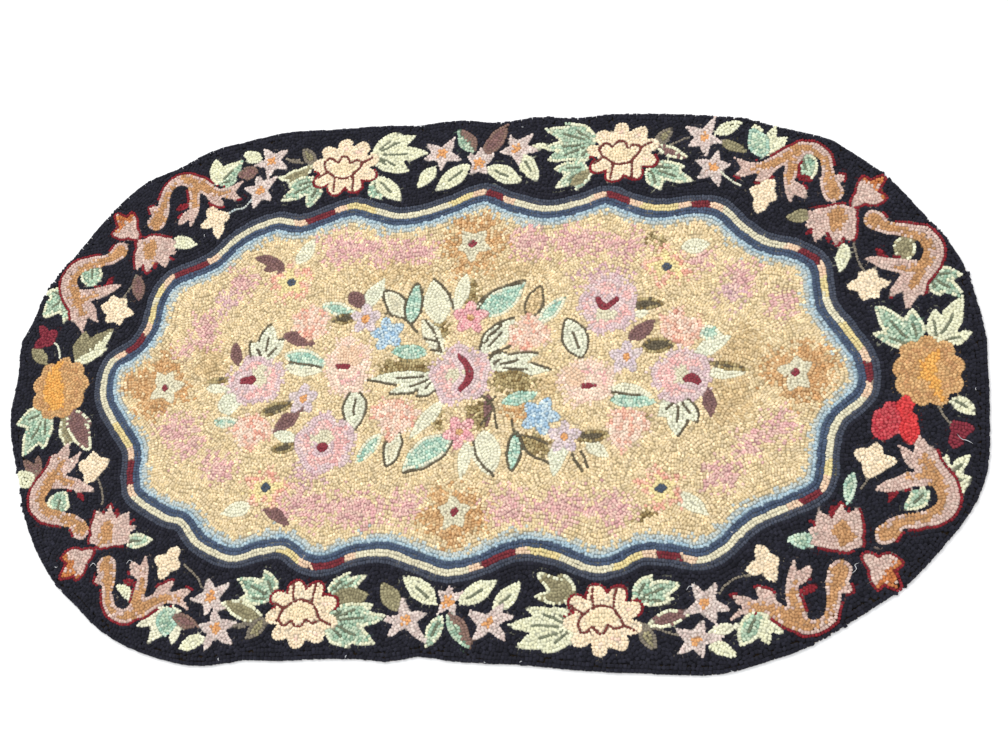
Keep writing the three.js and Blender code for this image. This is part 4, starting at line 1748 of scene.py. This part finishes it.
@dataclass(frozen=True)
class Bouquet:
    """The bouquet on the tan field: soft clouds of colour, leaves, then flowers, and the daisies around it.
    """

    sprays: tuple[Leaf, ...] = leaves_of(
        # Left: behind the flowers, then beside them
        (K.CHALK, -172, 118, (-142, 168, 28)), (K.PLUM, -200, 147, (-170, 120, 24)),
        (K.PLUM, -383, 67, (-371, 26, 19)), (K.PLUM, -302, 78, (-246, 62, 22)),
        (K.PLUM, -300, -82, (-256, -45, 24)),
        (K.PLUM, -316, 201, (-367, 214, 18), (-348, 190, 16), (-324, 176, 12)),
        (K.CREAM, -424, -10, (-378, -12, 17)), (K.SPRIG_DRAB, -424, 2, (-374, 5, 11)),
        (K.CHALK, -398, -40, (-358, -30, 36)), (K.CREAM_MINT, -402, -66, (-360, -64, 20)),
        (K.SPRIG_DRAB, -328, -52, (-270, -36, 19)), (K.SPRIG_DRAB, -300, -111, (-258, -104, 20)),
        (K.CHALK, -300, -84, (-256, -96, 18)), (K.CREAM_MINT, -242, 128, (-180, 108, 24)),
        (K.SPRIG_DRAB, -227, 102, (-176, 103, 18)), (K.CREAM, -292, 24, (-232, 15, 26)),
        (K.CREAM_MINT, -297, 46, (-223, 25, 32)), (K.LINED_CREAM, -100, 102, (-140, 147, 28)),
        (K.CREAM_MINT, -122, -86, (-162, -132, 24)), (K.LINED_CREAM, -100, -86, (-111, -139, 24)),
        (K.LINED_CHALK, -172, -16, (-172, -84, 34)),
        (K.SIDE_CHALK, -330, 38, (-322, 96, 30), (-354, 68, 24), (-299, 70, 24)),
        # Middle, above
        (K.MOSS, -52, 16, (-140, 20, 34)), (K.MOSS, -44, 64, (-46, 98, 36)),
        (K.MOSS, 0, 112, (3, 162, 24)), (K.LINED_MINT, -93, 92, (-88, 158, 24)),
        (K.CREAM, -46, 88, (-62, 166, 44)), (K.CREAM, -22, 108, (-8, 174, 24)),
        (K.SPRIG_MINT, -62, 42, (-122, 46, 26)), (K.BROAD_MINT, 6, 102, (86, 154, 42)),
        (K.LINED_FAWN, 94, 96, (109, 145, 24)), (K.CREAM_MINT, 108, 86, (150, 127, 25)),
        (K.CREAM, -38, 38, (-74, 98, 28)), (K.SIDE_CHALK, 22, 38, (72, 94, 34)),
        (K.SIDE_CHALK, 36, 16, (62, 38, 20), (112, 34, 22), (134, 8, 20)),
        (K.SIDE_CHALK, -40, 2, (-152, 2, 22), (-118, -22, 18), (-74, -28, 22)),
        # Middle, below
        (K.MOSS, 38, -4, (118, -10, 34)), (K.SPRIG_MINT, 58, -42, (114, -26, 22)),
        (K.MOSS, 22, -38, (30, -86, 40)), (K.PLUM, 38, -24, (40, -80, 14)),
        (K.MOSS, -40, -50, (-40, -82, 20)), (K.CREAM, -30, -34, (-80, -96, 22)),
        (K.BROAD_MINT, -14, -94, (-86, -148, 42)), (K.CREAM, 12, -98, (5, -160, 21)),
        (K.CREAM, 34, -84, (50, -156, 44)), (K.LINED_MINT, 86, -88, (82, -147, 19)),
        (K.MOSS, 95, -92, (136, -122, 27)),
        # Right
        (K.LINED_CHALK, 180, 30, (152, 92, 36)), (K.SPRIG_DRAB, 248, 112, (302, 111, 20)),
        (K.CREAM, 252, 96, (280, 96, 14)), (K.PLUM, 248, 53, (287, 85, 24)),
        (K.SPRIG_DRAB, 266, 42, (320, 49, 26)), (K.CREAM, 362, 2, (422, -3, 20)),
        (K.SPRIG_DRAB, 366, 16, (430, 2, 13)), (K.CHALK, 346, 28, (399, 58, 26)),
        (K.CREAM_MINT, 350, 66, (388, 60, 24)), (K.PLUM, 367, -24, (373, -68, 19)),
        (K.SIDE_CHALK, 324, -40, (323, -97, 30), (353, -76, 24), (296, -66, 28)),
        (K.CREAM, 222, -22, (286, -34, 26)), (K.SPRIG_MINT, 222, -38, (292, -44, 22)),
        (K.MOSS, 254, -62, (294, -74, 14)), (K.CREAM, 188, -102, (224, -128, 22)),
        (K.SPRIG_DRAB, 171, -97, (227, -93, 19)), (K.CHALK, 152, -98, (145, -156, 27)),
        (K.CHALK, 160, -100, (166, -122, 16)),
        # Beside the yellow daisies
        (K.CREAM, 322, 201, (368, 206, 26)), (K.MOSS, 306, 206, (266, 226, 14)),
        (K.CREAM, 326, -182, (372, -213, 24), (334, -204, 16)), (K.MOSS, 297, -206, (266, -226, 14)),
        (K.PLUM, -300, -203, (-256, -229, 19)), (K.CREAM, -322, -200, (-370, -213, 25)),
        (K.CREAM, -292, 198, (-266, 242, 25)),
    )
    stems: tuple[tuple[Point, ...], ...] = (((-136, 110), (-100, 97), (-82, 76)),
        ((77, -66), (80, -82), (86, -92)), ((88, -92), (108, -97), (134, -106)),
        ((90, -96), (110, -124), (134, -134)), ((14, 112), (28, 135), (50, 148), (80, 151)),
        ((-62, 166), (-45, 150), (-35, 135), (-27, 113)), ((-68, 95), (-50, 65), (-42, 45)),
        ((-70, 66), (-52, 60)), ((-60, 47), (-44, 46)), ((20, -102), (30, -130), (56, -156)),
        ((-78, -147), (-50, -142), (-22, -120)), ((225, -27), (246, -30), (268, -33)),
        ((-285, 32), (-260, 28), (-233, 21)), ((30, -30), (45, -44), (56, -82)), ((36, -44), (50, -30)),
        ((45, -58), (30, -76)), ((167, -112), (178, -134), (188, -149)),
        ((183, -117), (190, -132), (195, -142)), ((25, 55), (36, 68), (51, 84)),
        ((35, 35), (50, 42), (66, 49)))
    tulips: tuple[Tulip, ...] = (Tulip((-258, 66), ((-284, 116, 26), (-260, 132, 28), (-234, 118, 26))),
        Tulip((-338, -54), ((-366, -92, 28), (-338, -112, 30), (-304, -92, 28))),
        Tulip((326, 46), ((296, 92, 30), (322, 106, 30), (354, 88, 30), (344, 60, 26))),
        Tulip((250, -56), ((226, -72, 24), (244, -120, 32), (284, -88, 32))),
        Tulip((96, 40), ((66, 84, 28), (94, 106, 28), (126, 82, 28))),
        Tulip((-100, -32), ((-142, -64, 28), (-112, -102, 30), (-74, -74, 30))))
    small: tuple[SprigFlower, ...] = (SprigFlower(2, 98, 26, Y.HOT_PINK, Y.GOLD, 6),
        SprigFlower(-2, -87, 25, Y.HOT_PINK, Y.GOLD, 6, 0.8), SprigFlower(-130, 75, 27, Y.SPRIG_BLUE,
        turn=0.5), SprigFlower(120, -63, 29, Y.SPRIG_BLUE, turn=1.2), SprigFlower(-168, 101, 24, Y.LILAC,
        Y.AMBER), SprigFlower(245, 27, 25, Y.LILAC, Y.AMBER), SprigFlower(-257, -30, 24, Y.LILAC, Y.AMBER),
        SprigFlower(158, -96, 25, Y.LILAC, Y.AMBER))
    blooms: tuple[Bloom, ...] = (Bloom(216, 113, 47, 49, RUFFLED, (212, 96, 22, 9),
        ((199, 123, 8), (211, 108, 11), (227, 121, 8))), Bloom(-338, 2, 48, 44, RUFFLED,
        (-334, 10, 16, 18), ((-361, 2, 12), (-346, 4, 14))), Bloom(-214, -102, 50, 49, RUFFLED,
        (-220, -92, 20, 12), ((-219, -108, 15), (-215, -107, 15))), Bloom(328, -3, 45, 46, RUFFLED,
        (330, -4, 12, 16), ((334, -8, 9), (345, -8, 14), (352, -14, 8))),
        Bloom(-188, 22, 39, 52, SHELL_PINK, (-188, 40, 24, 18), ((-206, 22, 8), (-190, 22, 9))),
        Bloom(188, -10, 44, 37, SHELL_PINK, (170, -2, 18, 20), ((182, -17, 8), (198, -16, 8))),
        Bloom(-8, 5, 50, 50, RUFFLED, (-19, 6, 15, 10), ((-11, 35, 8), (1, 20, 11), (8, 2, 13),
        (-6, -18, 8))))
    daisies: tuple[Daisy, ...] = (Daisy((302, 171), ((260, 176), (294, 212), (331, 192), (334, 149),
        (286, 138)), *YELLOW_PETALS, 26, 7.5),
        Daisy((303, -175), ((263, -167), (289, -141), (329, -154), (334, -196), (297, -211)),
        *YELLOW_PETALS, 24, 8), Daisy((-302, -171), ((-339, -157), (-297, -140), (-260, -166),
        (-284, -207), (-323, -197)), *YELLOW_PETALS, 24, 8),
        Daisy((-299, 168), ((-339, 176), (-306, 206), (-262, 184), (-272, 140), (-320, 136)),
        *YELLOW_PETALS, 25, 7.5), Daisy((-4, 222), ((-21, 244), (19, 243), (28, 212), (-3, 188),
        (-27, 213)), *CREAM_PETALS, 21, 7), Daisy((493, -3), ((493, 24), (517, 12), (513, -27), (486, -32),
        (466, 3)), *CREAM_PETALS, 21, 7),
        Daisy((-492, -7), ((-511, 20), (-484, 24), (-458, 0), (-475, -34), (-517, -26)), *CREAM_PETALS, 21,
        7), Daisy((-1, -209), ((-6, -183), (24, -203), (13, -234), (-16, -237), (-29, -204)),
        *CREAM_PETALS, 21, 7))

    def draw(self, plan: Plan) -> None:
        """Draws the leaves, the dark lines over them, then the flowers."""
        for leaf in self.sprays:
            leaf.draw(plan, Piece.BOUQUET)
        for stem in self.stems:
            plan.line(stem, Y.DARK_LINE, Piece.BOUQUET)
        for flower in (*self.tulips, *self.small, *self.blooms, *self.daisies):
            flower.draw(plan)


def edge_line() -> np.ndarray:
    """Reads the rug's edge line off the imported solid: the foot of its upright wall, sorted round the
    middle.

    Returns:
        The line's points in millimetres, counter-clockwise.
    """
    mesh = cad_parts[NODE].data
    places = np.zeros(len(mesh.vertices) * 3)
    mesh.vertices.foreach_get("co", places)
    places = places.reshape(-1, 3) / MM
    wall = places[np.abs(places[:, 2] - WALL_FOOT) < 0.1][:, :2]
    wall = np.unique(np.round(wall, 2), axis=0)
    return wall[np.argsort(np.arctan2(wall[:, 1], wall[:, 0]))]


def inset(line: np.ndarray, by: np.ndarray | float) -> np.ndarray:
    """Moves a closed line inwards along its own normals, by a distance in millimetres."""
    along = np.roll(line, -1, 0) - np.roll(line, 1, 0)
    along /= np.linalg.norm(along, axis=1)[:, None]
    inward = np.column_stack([-along[:, 1], along[:, 0]])
    return line + inward * np.reshape(by, (-1, 1))


def ring_mesh(name: str, rings: Sequence[np.ndarray], around: bool) -> bpy.types.Object:
    """Joins closed rings of points into one closed surface.

    Args:
        name: the object's name.
        rings: rings of as many points each, counter-clockwise seen from above, in millimetres.
        around: whether the last ring joins the first; if not, both shrink to a point.

    Returns:
        The object.
    """
    count = len(rings[0])
    places = np.vstack(rings)
    step = np.arange(count)
    after = (step + 1) % count
    total = len(rings)
    pairs = [(k, (k + 1) % total) for k in range(total if around else total - 1)]
    quads = [np.column_stack([a * count + step, a * count + after, b * count + after, b * count + step])
        for a, b in pairs]
    corners = np.concatenate(quads).ravel()
    starts = np.arange(len(corners) // 4) * 4
    if not around:
        middles = np.vstack([rings[0].mean(0), rings[-1].mean(0)])
        places = np.vstack([places, middles])
        last = (total - 1) * count
        low = np.column_stack([step, np.full(count, total * count), after])
        high = np.column_stack([last + step, last + after, np.full(count, total * count + 1)])
        fans = np.concatenate([low, high]).ravel()
        starts = np.concatenate([starts, len(corners) + np.arange(2 * count) * 3])
        corners = np.concatenate([corners, fans])
    return put_mesh(name, places * MM, corners, starts)


@dataclass(frozen=True)
class Foundation:
    """The burlap that the wool is drawn through, with its hem turned under and whipped down."""

    edge: np.ndarray
    low: float = CLOTH_LOW
    top: float = CLOTH_TOP
    tuck: float = 1.2
    hem_width: float = HEM_WIDTH
    hem_low: float = 0.0
    hem_top: float = 0.5
    stitch_pitch: float = 13.0

    def cloth(self) -> bpy.types.Object:
        """The cloth: a thin closed sheet, its rings scaled in from the edge line."""
        line = spline(inset(self.edge, self.tuck), 12.0, closed=True)
        shares = (0.12, 0.3, 0.5, 0.68, 0.84, 0.95)
        rounding = inset(line, 0.4)
        middle = (self.low + self.top) / 2
        rings = [self.lift(line * share, self.low) for share in shares]
        rings += [self.lift(rounding, self.low), self.lift(line, middle), self.lift(rounding, self.top)]
        rings += [self.lift(line * share, self.top) for share in reversed(shares)]
        return ring_mesh("burlap_foundation", rings, around=False)

    def lift(self, line: np.ndarray, height: float) -> np.ndarray:
        """The line at a height above the floor."""
        return np.column_stack([line, np.full(len(line), height)])

    def hem(self) -> bpy.types.Object:
        """The turned hem: a flat strip under the edge, its raw side a little uneven."""
        line = spline(inset(self.edge, self.tuck), 8.0, closed=True)
        step = np.arange(len(line))
        ragged = self.hem_width + 1.6 * np.sin(step * 0.83) + 1.1 * np.sin(step * 2.17 + 1)
        outer, inner = inset(line, 1.0), inset(line, ragged)
        soft_outer, soft_inner = inset(line, 0.4), inset(line, ragged + 0.6)
        middle = (self.hem_low + self.hem_top) / 2
        rings = [self.lift(inner, self.hem_low), self.lift(outer, self.hem_low),
            self.lift(soft_outer, middle), self.lift(outer, self.hem_top), self.lift(inner, self.hem_top),
            self.lift(soft_inner, middle)]
        return ring_mesh("turned_hem", rings, around=True)

    def stitches(self) -> bpy.types.Object:
        """The whipping: slanted stitches over the hem's raw side, all round."""
        line = spline(inset(self.edge, self.tuck + self.hem_width), self.stitch_pitch, closed=True)
        along = np.roll(line, -1, 0) - line
        along /= np.linalg.norm(along, axis=1)[:, None]
        inward = np.column_stack([-along[:, 1], along[:, 0]])
        start = line - 2.5 * inward - 2 * along
        finish = line + 3.5 * inward + 2 * along
        t = np.linspace(0, 1, 6)
        high = 0.5 - 0.42 * np.sin(np.pi * t)
        paths = start[:, None, :] * (1 - t)[None, :, None] + finish[:, None, :] * t[None, :, None]
        height = np.broadcast_to(high[None, :, None], (*paths.shape[:2], 1))
        thick = 0.32 * np.sqrt(np.sin(np.pi * (0.08 + 0.84 * t)))
        return tube_mesh("hem_stitches", np.concatenate([paths, height], -1), thick, 4, (0.0, 0.62))


@dataclass(frozen=True)
class LooseThreads:
    """White threads that have worked out of the cloth: a few curls on the pile, and short ends like lint.
    """

    curls: tuple[tuple[Point, ...], ...] = (((570, -296), (576, -290), (574, -284), (580, -281)),
        ((345, -322), (349, -316), (354, -317), (356, -310)), ((-573, -297), (-568, -291), (-562, -295)),
        ((-512, -292), (-508, -286), (-502, -288)), ((714, -98), (720, -106), (727, -108), (735, -113)),
        ((-106, 439), (-103, 434), (-99, 438)))
    ends: tuple[Point, ...] = ((67, 423), (742, -33), (-630, -297), (-506, -238), (-341, -433),
        (-144, -425), (63, -428), (115, -427), (410, -432), (-457, 257), (407, -238), (-246, 267))
    thick: float = 0.4
    points: int = 10
    seed: int = 4

    def build(self, name: str) -> bpy.types.Object:
        """Lays the threads on top of the pile as thin tubes.

        A curl is a smooth line through its points. An end is a bow: with t from -1 to 1, it lies at t times
        its half length one way and 1 - t^2 the other, turned to a random side.

        Args:
            name: the object's name.

        Returns:
            The object.
        """
        random = np.random.default_rng(self.seed)
        t = np.linspace(-1, 1, self.points)
        turn = random.uniform(0, np.pi, (len(self.ends), 1))
        half = random.uniform(1.2, 2.4, (len(self.ends), 1))
        bow = 1 - t[None, :] ** 2
        middle = np.array(self.ends, float)
        x = middle[:, :1] + np.cos(turn) * half * t - np.sin(turn) * bow
        y = middle[:, 1:] + np.sin(turn) * half * t + np.cos(turn) * bow
        paths = [np.column_stack([x[k], y[k]]) for k in range(len(middle))]
        for curl in self.curls:
            line = spline(np.array(curl, float), 0.5)
            paths.append(line[np.linspace(0, len(line) - 1, self.points).astype(int)])
        flat = np.stack(paths)
        high = np.broadcast_to((PILE_TOP + 0.3 + 0.4 * bow)[..., None], (*flat.shape[:2], 1))
        thick = self.thick * np.sqrt(1.05 - t**2)
        return tube_mesh(name, np.concatenate([flat, high], -1), thick, 5)


def tube_mesh(name: str, paths: np.ndarray, thick: np.ndarray, sides: int, span: tuple[float, float] |
        None = None) -> bpy.types.Object:
    """Carries a round profile along many paths at once and closes the ends.

    The profile lies across the path, its first axis level and its second the cross product of path and
    first axis.

    Args:
        name: the object's name.
        paths: as many points for each tube, in millimetres.
        thick: the radius at each point along a path.
        sides: how many sides the tube has.
        span: the lowest and highest that the tubes may reach, or None.

    Returns:
        The object.
    """
    tubes, points, _ = paths.shape
    along = np.gradient(paths, axis=1)
    along /= np.linalg.norm(along, axis=2, keepdims=True)
    level = np.stack([-along[..., 1], along[..., 0], np.zeros(along.shape[:2])], -1)
    level /= np.linalg.norm(level, axis=2, keepdims=True).clip(1e-6)
    up = np.cross(along, level)
    turn = 2 * np.pi * np.arange(sides) / sides
    ring = level[:, :, None, :] * np.cos(turn)[None, None, :, None] + up[:, :, None,
        :] * np.sin(turn)[None, None, :, None]
    places = paths[:, :, None, :] + ring * thick[None, :, None, None]
    if span is not None:
        places[..., 2] = places[..., 2].clip(*span)
    each = points * sides
    side = np.arange(sides)
    after = (side + 1) % sides
    quads = [np.column_stack([k * sides + side, k * sides + after, (k + 1) * sides + after,
        (k + 1) * sides + side]) for k in range(points - 1)]
    body = np.concatenate(quads).ravel()
    ends = np.concatenate([side[::-1], each - sides + side])
    one = np.concatenate([body, ends])
    begin = np.concatenate([np.arange(len(body) // 4) * 4, len(body) + np.array([0, sides])])
    corners = (one[None, :] + each * np.arange(tubes)[:, None]).ravel()
    starts = (begin[None, :] + len(one) * np.arange(tubes)[:, None]).ravel()
    return put_mesh(name, places.reshape(-1, 3) * MM, corners, starts)


class Graph:
    """A material's or a group's nodes, with short ways to add and join them."""

    def __init__(self, tree: bpy.types.NodeTree) -> None:
        """Takes a node tree."""
        self.tree = tree

    def node(self, kind: str, inputs: dict | None = None, **settings: object) -> bpy.types.Node:
        """Adds a node.

        Args:
            kind: the node's Blender type, without the word ShaderNode.
            inputs: values or sockets for its inputs, by name or number.
            settings: the node's own properties.

        Returns:
            The node.
        """
        made = self.tree.nodes.new(kind if kind.startswith("NodeGroup") else "ShaderNode" + kind)
        for name, value in settings.items():
            setattr(made, name, value)
        self.feed(made, inputs or {})
        return made

    def feed(self, node: bpy.types.Node, inputs: dict) -> None:
        """Gives a node's inputs their values, or joins them to sockets."""
        for name, value in inputs.items():
            if isinstance(value, bpy.types.NodeSocket):
                self.tree.links.new(value, node.inputs[name])
            else:
                node.inputs[name].default_value = value

    def math(self, operation: str, *values: object, kind: str = "Math") -> bpy.types.NodeSocket:
        """The result of a sum of numbers, or of vectors with kind VectorMath."""
        return self.node(kind, dict(enumerate(values)), operation=operation).outputs[0]

    def place(self) -> bpy.types.NodeSocket:
        """Where each point lies on the object."""
        return self.node("TexCoord").outputs["Object"]

    def mixed(self, share: bpy.types.NodeSocket, dark: np.ndarray,
            light: np.ndarray) -> bpy.types.NodeSocket:
        """A blend of two linear colours."""
        return self.node("Mix", {"Factor": share, 6: (*dark, 1), 7: (*light, 1)}, data_type="RGBA").outputs[
            2]

    def relief(self, height: bpy.types.NodeSocket, strength: float,
            distance: float) -> bpy.types.NodeSocket:
        """The normal of a surface with this relief."""
        return self.node("Bump", {"Strength": strength, "Distance": distance, "Height": height}).outputs[
            "Normal"]


def finish(name: str) -> tuple[bpy.types.Material, Graph, bpy.types.Node]:
    """A new material, its graph and its shader."""
    made = bpy.data.materials.new(name)
    made.use_nodes = True
    return made, Graph(made.node_tree), made.node_tree.nodes["Principled BSDF"]


def heather_group() -> bpy.types.NodeTree:
    """Builds the group that every wool shares: fibres of lighter and darker wool, and their relief.

    Returns:
        The group, with Colour, Fleck and Fuzz in, and Colour, Roughness and Height out.
    """
    group = bpy.data.node_groups.new("heathered_wool", "ShaderNodeTree")
    for name, way in (("Colour", "INPUT"), ("Fleck", "INPUT"), ("Fuzz", "INPUT"), ("Colour", "OUTPUT"),
            ("Roughness", "OUTPUT"), ("Height", "OUTPUT")):
        kind = "NodeSocketColor" if name == "Colour" else "NodeSocketFloat"
        group.interface.new_socket(name, in_out=way, socket_type=kind)
    graph = Graph(group)
    given = graph.node("NodeGroupInput").outputs
    place = graph.place()
    fibre = graph.node("TexNoise", {"Vector": place, "Scale": 1500.0, "Detail": 3.0, "Roughness": 0.65,
        "Distortion": 0.8})
    tuft = graph.node("TexNoise", {"Vector": place, "Scale": 300.0, "Detail": 2.0, "Roughness": 0.5})
    both = graph.math("ADD", fibre.outputs["Fac"], tuft.outputs["Fac"])
    amount = graph.math("MULTIPLY", graph.math("SUBTRACT", both, 1.0), given["Fleck"])
    colour = graph.math("MULTIPLY", given["Colour"], graph.math("ADD", amount, 1.0), kind="VectorMath")
    spread = {"From Min": 0.3, "From Max": 0.7, "To Min": 0.86, "To Max": 0.98}
    rough = graph.node("MapRange", {"Value": tuft.outputs["Fac"], **spread}).outputs[0]
    height = graph.math("MULTIPLY", fibre.outputs["Fac"], given["Fuzz"])
    graph.node("NodeGroupOutput", {"Colour": colour, "Roughness": rough, "Height": height})
    return group


@dataclass(frozen=True)
class Wool:
    """The finish of hooked wool: matte, fleecy, coloured loop by loop."""

    name: str
    group: bpy.types.NodeTree
    fleck: float = 0.5
    fuzz: float = 1.0
    sheen: float = 0.04

    def material(self) -> bpy.types.Material:
        """Makes the material from the loops' own colour and the shared wool group."""
        made, graph, shader = finish(self.name)
        dyed = graph.node("Attribute", attribute_name="yarn_colour").outputs["Color"]
        given = {"Colour": dyed, "Fleck": self.fleck, "Fuzz": self.fuzz}
        wool = graph.node("Group", given, node_tree=self.group).outputs
        graph.feed(shader, {"Base Color": wool["Colour"], "Roughness": wool["Roughness"],
            "Normal": graph.relief(wool["Height"], 0.5, 0.0006), "Specular IOR Level": 0.06,
            "Sheen Weight": self.sheen, "Sheen Roughness": 0.6})
        return made


@dataclass(frozen=True)
class Burlap:
    """The finish of the foundation cloth: a plain jute weave of uneven brown threads.

    shaded is how much of its colour is left on the side that lies under the pile: painted shade on its
    upper side.
    """

    thread: float = 0.0024
    light: tuple[int, int, int] = (184, 152, 108)
    dark: tuple[int, int, int] = (122, 94, 62)
    # painted shade: the share of colour left on the cloth's upper side
    shaded: float = 0.1

    def material(self) -> bpy.types.Material:
        """Makes the weave from two sets of rounded threads, each over and under the other in turn; its
        colour follows the slubs and, as painted shade, is darker in the gaps between the threads.
        """
        made, graph, shader = finish("burlap")
        place = graph.place()
        wander = graph.node("TexNoise", {"Vector": place, "Scale": 60.0, "Detail": 2.0}).outputs["Color"]
        shift = graph.math("MULTIPLY", wander, (self.thread * 0.5,) * 3, kind="VectorMath")
        laid = graph.math("ADD", place, shift, kind="VectorMath")
        parts = graph.node("SeparateXYZ", {0: laid}).outputs
        turns = [graph.math("MULTIPLY", parts[axis], math.pi / self.thread) for axis in ("X", "Y")]
        waves = [graph.math("SINE", turn) for turn in turns]
        over = graph.math("MULTIPLY", *waves)
        hill = graph.math("MULTIPLY", *(graph.math("ABSOLUTE", wave) for wave in waves))
        relief = graph.math("MULTIPLY_ADD", over, 0.35, hill)
        slub = graph.node("TexNoise", {"Vector": place, "Scale": 240.0, "Detail": 4.0}).outputs["Fac"]
        # the tone is partly the threads' real slubs and partly painted shade: low relief, in the gaps
        # between threads, is darker
        tone = graph.math("MULTIPLY_ADD", slub, 0.7, relief)
        share = graph.node("MapRange", {"Value": tone, "From Min": 0.1, "From Max": 1.3}).outputs[0]
        weave = graph.mixed(share, linear(np.array(self.dark)), linear(np.array(self.light)))
        # painted shade: the upward-facing side, under the pile, is darkened
        up = graph.node("SeparateXYZ", {0: graph.node("NewGeometry").outputs["True Normal"]}).outputs["Z"]
        painted_shade_on_top = graph.node("MapRange", {"Value": up, "To Min": 1.0, "To Max": self.shaded}).outputs[0]
        graph.feed(shader, {"Base Color": graph.math("MULTIPLY", weave, painted_shade_on_top, kind="VectorMath"),
            "Roughness": 0.92, "Normal": graph.relief(relief, 0.6, 0.0004), "Specular IOR Level": 0.2})
        return made


@dataclass(frozen=True)
class Thread:
    """The finish of a spun sewing thread: two plies that wind round each other."""

    name: str
    colour: tuple[int, int, int]
    ply: float = 0.0011

    def material(self) -> bpy.types.Material:
        """Makes the plies from slanted stripes that set the relief, darker as painted shade where the
        relief is low, in the grooves between the plies.
        """
        made, graph, shader = finish(self.name)
        ply = {"Vector": graph.place(), "Scale": 0.05 / self.ply, "Distortion": 2.0, "Detail": 2.0}
        stripes = graph.node("TexWave", ply, bands_direction="DIAGONAL").outputs["Fac"]
        tint = linear(np.array(self.colour))
        # painted shade: the grooves between the plies are darkened to 0.72 of the thread's colour
        graph.feed(shader, {"Base Color": graph.mixed(stripes, tint * 0.72, tint), "Roughness": 0.8,
            "Normal": graph.relief(stripes, 0.4, 0.0002)})
        return made


@dataclass(frozen=True)
class Studio:
    """A plain pale floor, soft light from above and a camera at the photograph's angle."""

    camera_at: Point3 = (618.9, -780.6, 2138.0)
    looks_at: Point3 = (63.5, -2.1, 7.5)
    roll: float = 3.64
    lens: float = 55.54
    floor_grey: float = 0.9
    floor_side: float = 12.0
    lamp_size: float = 3.0
    lamps: tuple[tuple[str, Point3, float], ...] = (("key_softbox", (-1.2, 1.6, 3.2), 92.0),
        ("fill_softbox", (1.8, -1.2, 3.4), 42.0))

    def stand(self, name: str, data: bpy.types.ID, at: np.ndarray, to: np.ndarray,
            top: Point3) -> bpy.types.Object:
        """Puts a camera or a lamp in its place.

        Args:
            name: the object's name.
            data: the camera or lamp.
            at: where it stands.
            to: what it looks at.
            top: which way its top points.

        Returns:
            The object.
        """
        thing = bpy.data.objects.new(name, data)
        bpy.context.scene.collection.objects.link(thing)
        back = (at - to) / np.linalg.norm(at - to)
        right = np.cross(top, back)
        right /= np.linalg.norm(right)
        matrix = np.eye(4)
        matrix[:3] = np.column_stack([right, np.cross(back, right), back, at])
        thing.matrix_world = Matrix(matrix.tolist())
        return thing

    def camera(self) -> None:
        """Places the camera: it looks down at the rug, turned a little about its own line of sight."""
        made = bpy.data.cameras.new("studio_camera")
        made.lens, made.sensor_width, made.clip_start = self.lens, 36.0, 0.05
        turn = math.radians(self.roll)
        at, to = MM * np.array(self.camera_at), MM * np.array(self.looks_at)
        bpy.context.scene.camera = self.stand("studio_camera", made, at, to,
            (-math.sin(turn), math.cos(turn), 0.0))

    def floor(self) -> None:
        """Lays the floor: a wide pale sheet with a faint grain."""
        places = self.floor_side * np.array([(-1, -1, 0), (1, -1, 0), (1, 1, 0), (-1, 1, 0)], float)
        thing = put_mesh("studio_floor", places, np.arange(4), np.array([0]))
        made, graph, shader = finish("pale_floor")
        grain = graph.node("TexNoise", {"Vector": graph.place(), "Scale": 3.0, "Detail": 3.0}).outputs[
            "Fac"]
        tones = {"To Min": self.floor_grey - 0.01, "To Max": self.floor_grey + 0.01}
        tone = graph.node("MapRange", {"Value": grain, **tones}).outputs[0]
        graph.feed(shader, {"Base Color": tone, "Roughness": 0.9})
        thing.data.materials.append(made)

    def lights(self) -> None:
        """Hangs a large soft light above, a weaker one on the far side, and an even pale surround."""
        for name, at, power in self.lamps:
            lamp = bpy.data.lights.new(name, "AREA")
            lamp.size, lamp.energy = self.lamp_size, power
            self.stand(name, lamp, np.array(at), np.zeros(3), (0.0, 1.0, 0.0))
        world = bpy.data.worlds.new("studio_world")
        world.use_nodes = True
        surround = world.node_tree.nodes["Background"].inputs
        surround["Color"].default_value, surround["Strength"].default_value = (0.97, 0.98, 1.0, 1.0), 0.8
        bpy.context.scene.world = world
        bpy.context.scene.view_settings.view_transform = "Standard"


def keep_sizes() -> None:
    """Updates the view layer, so that every object's place is current."""
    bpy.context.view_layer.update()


def seat(thing: bpy.types.Object, material: bpy.types.Material) -> None:
    """Gives a piece its finish and the body it rides on."""
    thing.data.materials.append(material)
    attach(thing, "root")
    LOG.info("%s: %d faces", thing.name, len(thing.data.polygons))


def main() -> None:
    """Builds the rug and the studio round it."""
    logging.basicConfig(level=logging.INFO, format="%(message)s")
    edge = edge_line()
    plan = Plan(edge)
    for part in (Ground(), Garland(), Ribbon(), TanField(), Bouquet()):
        part.draw(plan)
    loops = Hooker(plan).hook()
    for number, piece in enumerate(PIECES):
        LOG.info("%s: %d loops", piece.value, int((loops.piece == number).sum()))
    group = heather_group()
    wool = Wool("hooked_wool", group).material()
    pile = Pile().build(loops)
    # the matted pile is a slab in painted shade under the loops
    pile["matted_pile_painted_shade"] = Nap().build(plan, "matted_pile_painted_shade")
    foundation = Foundation(edge)
    cloth, hem, stitches = foundation.cloth(), foundation.hem(), foundation.stitches()
    threads = LooseThreads().build("loose_threads")
    for thing in pile.values():
        seat(thing, wool)
    burlap = Burlap().material()
    seat(cloth, burlap)
    seat(hem, burlap)
    seat(stitches, Thread("linen_thread", (214, 204, 182)).material())
    seat(threads, Thread("white_thread", (232, 234, 236)).material())
    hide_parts(NODE)
    studio = Studio()
    studio.floor()
    studio.lights()
    studio.camera()
    keep_sizes()


if __name__ == "__main__":
    main()
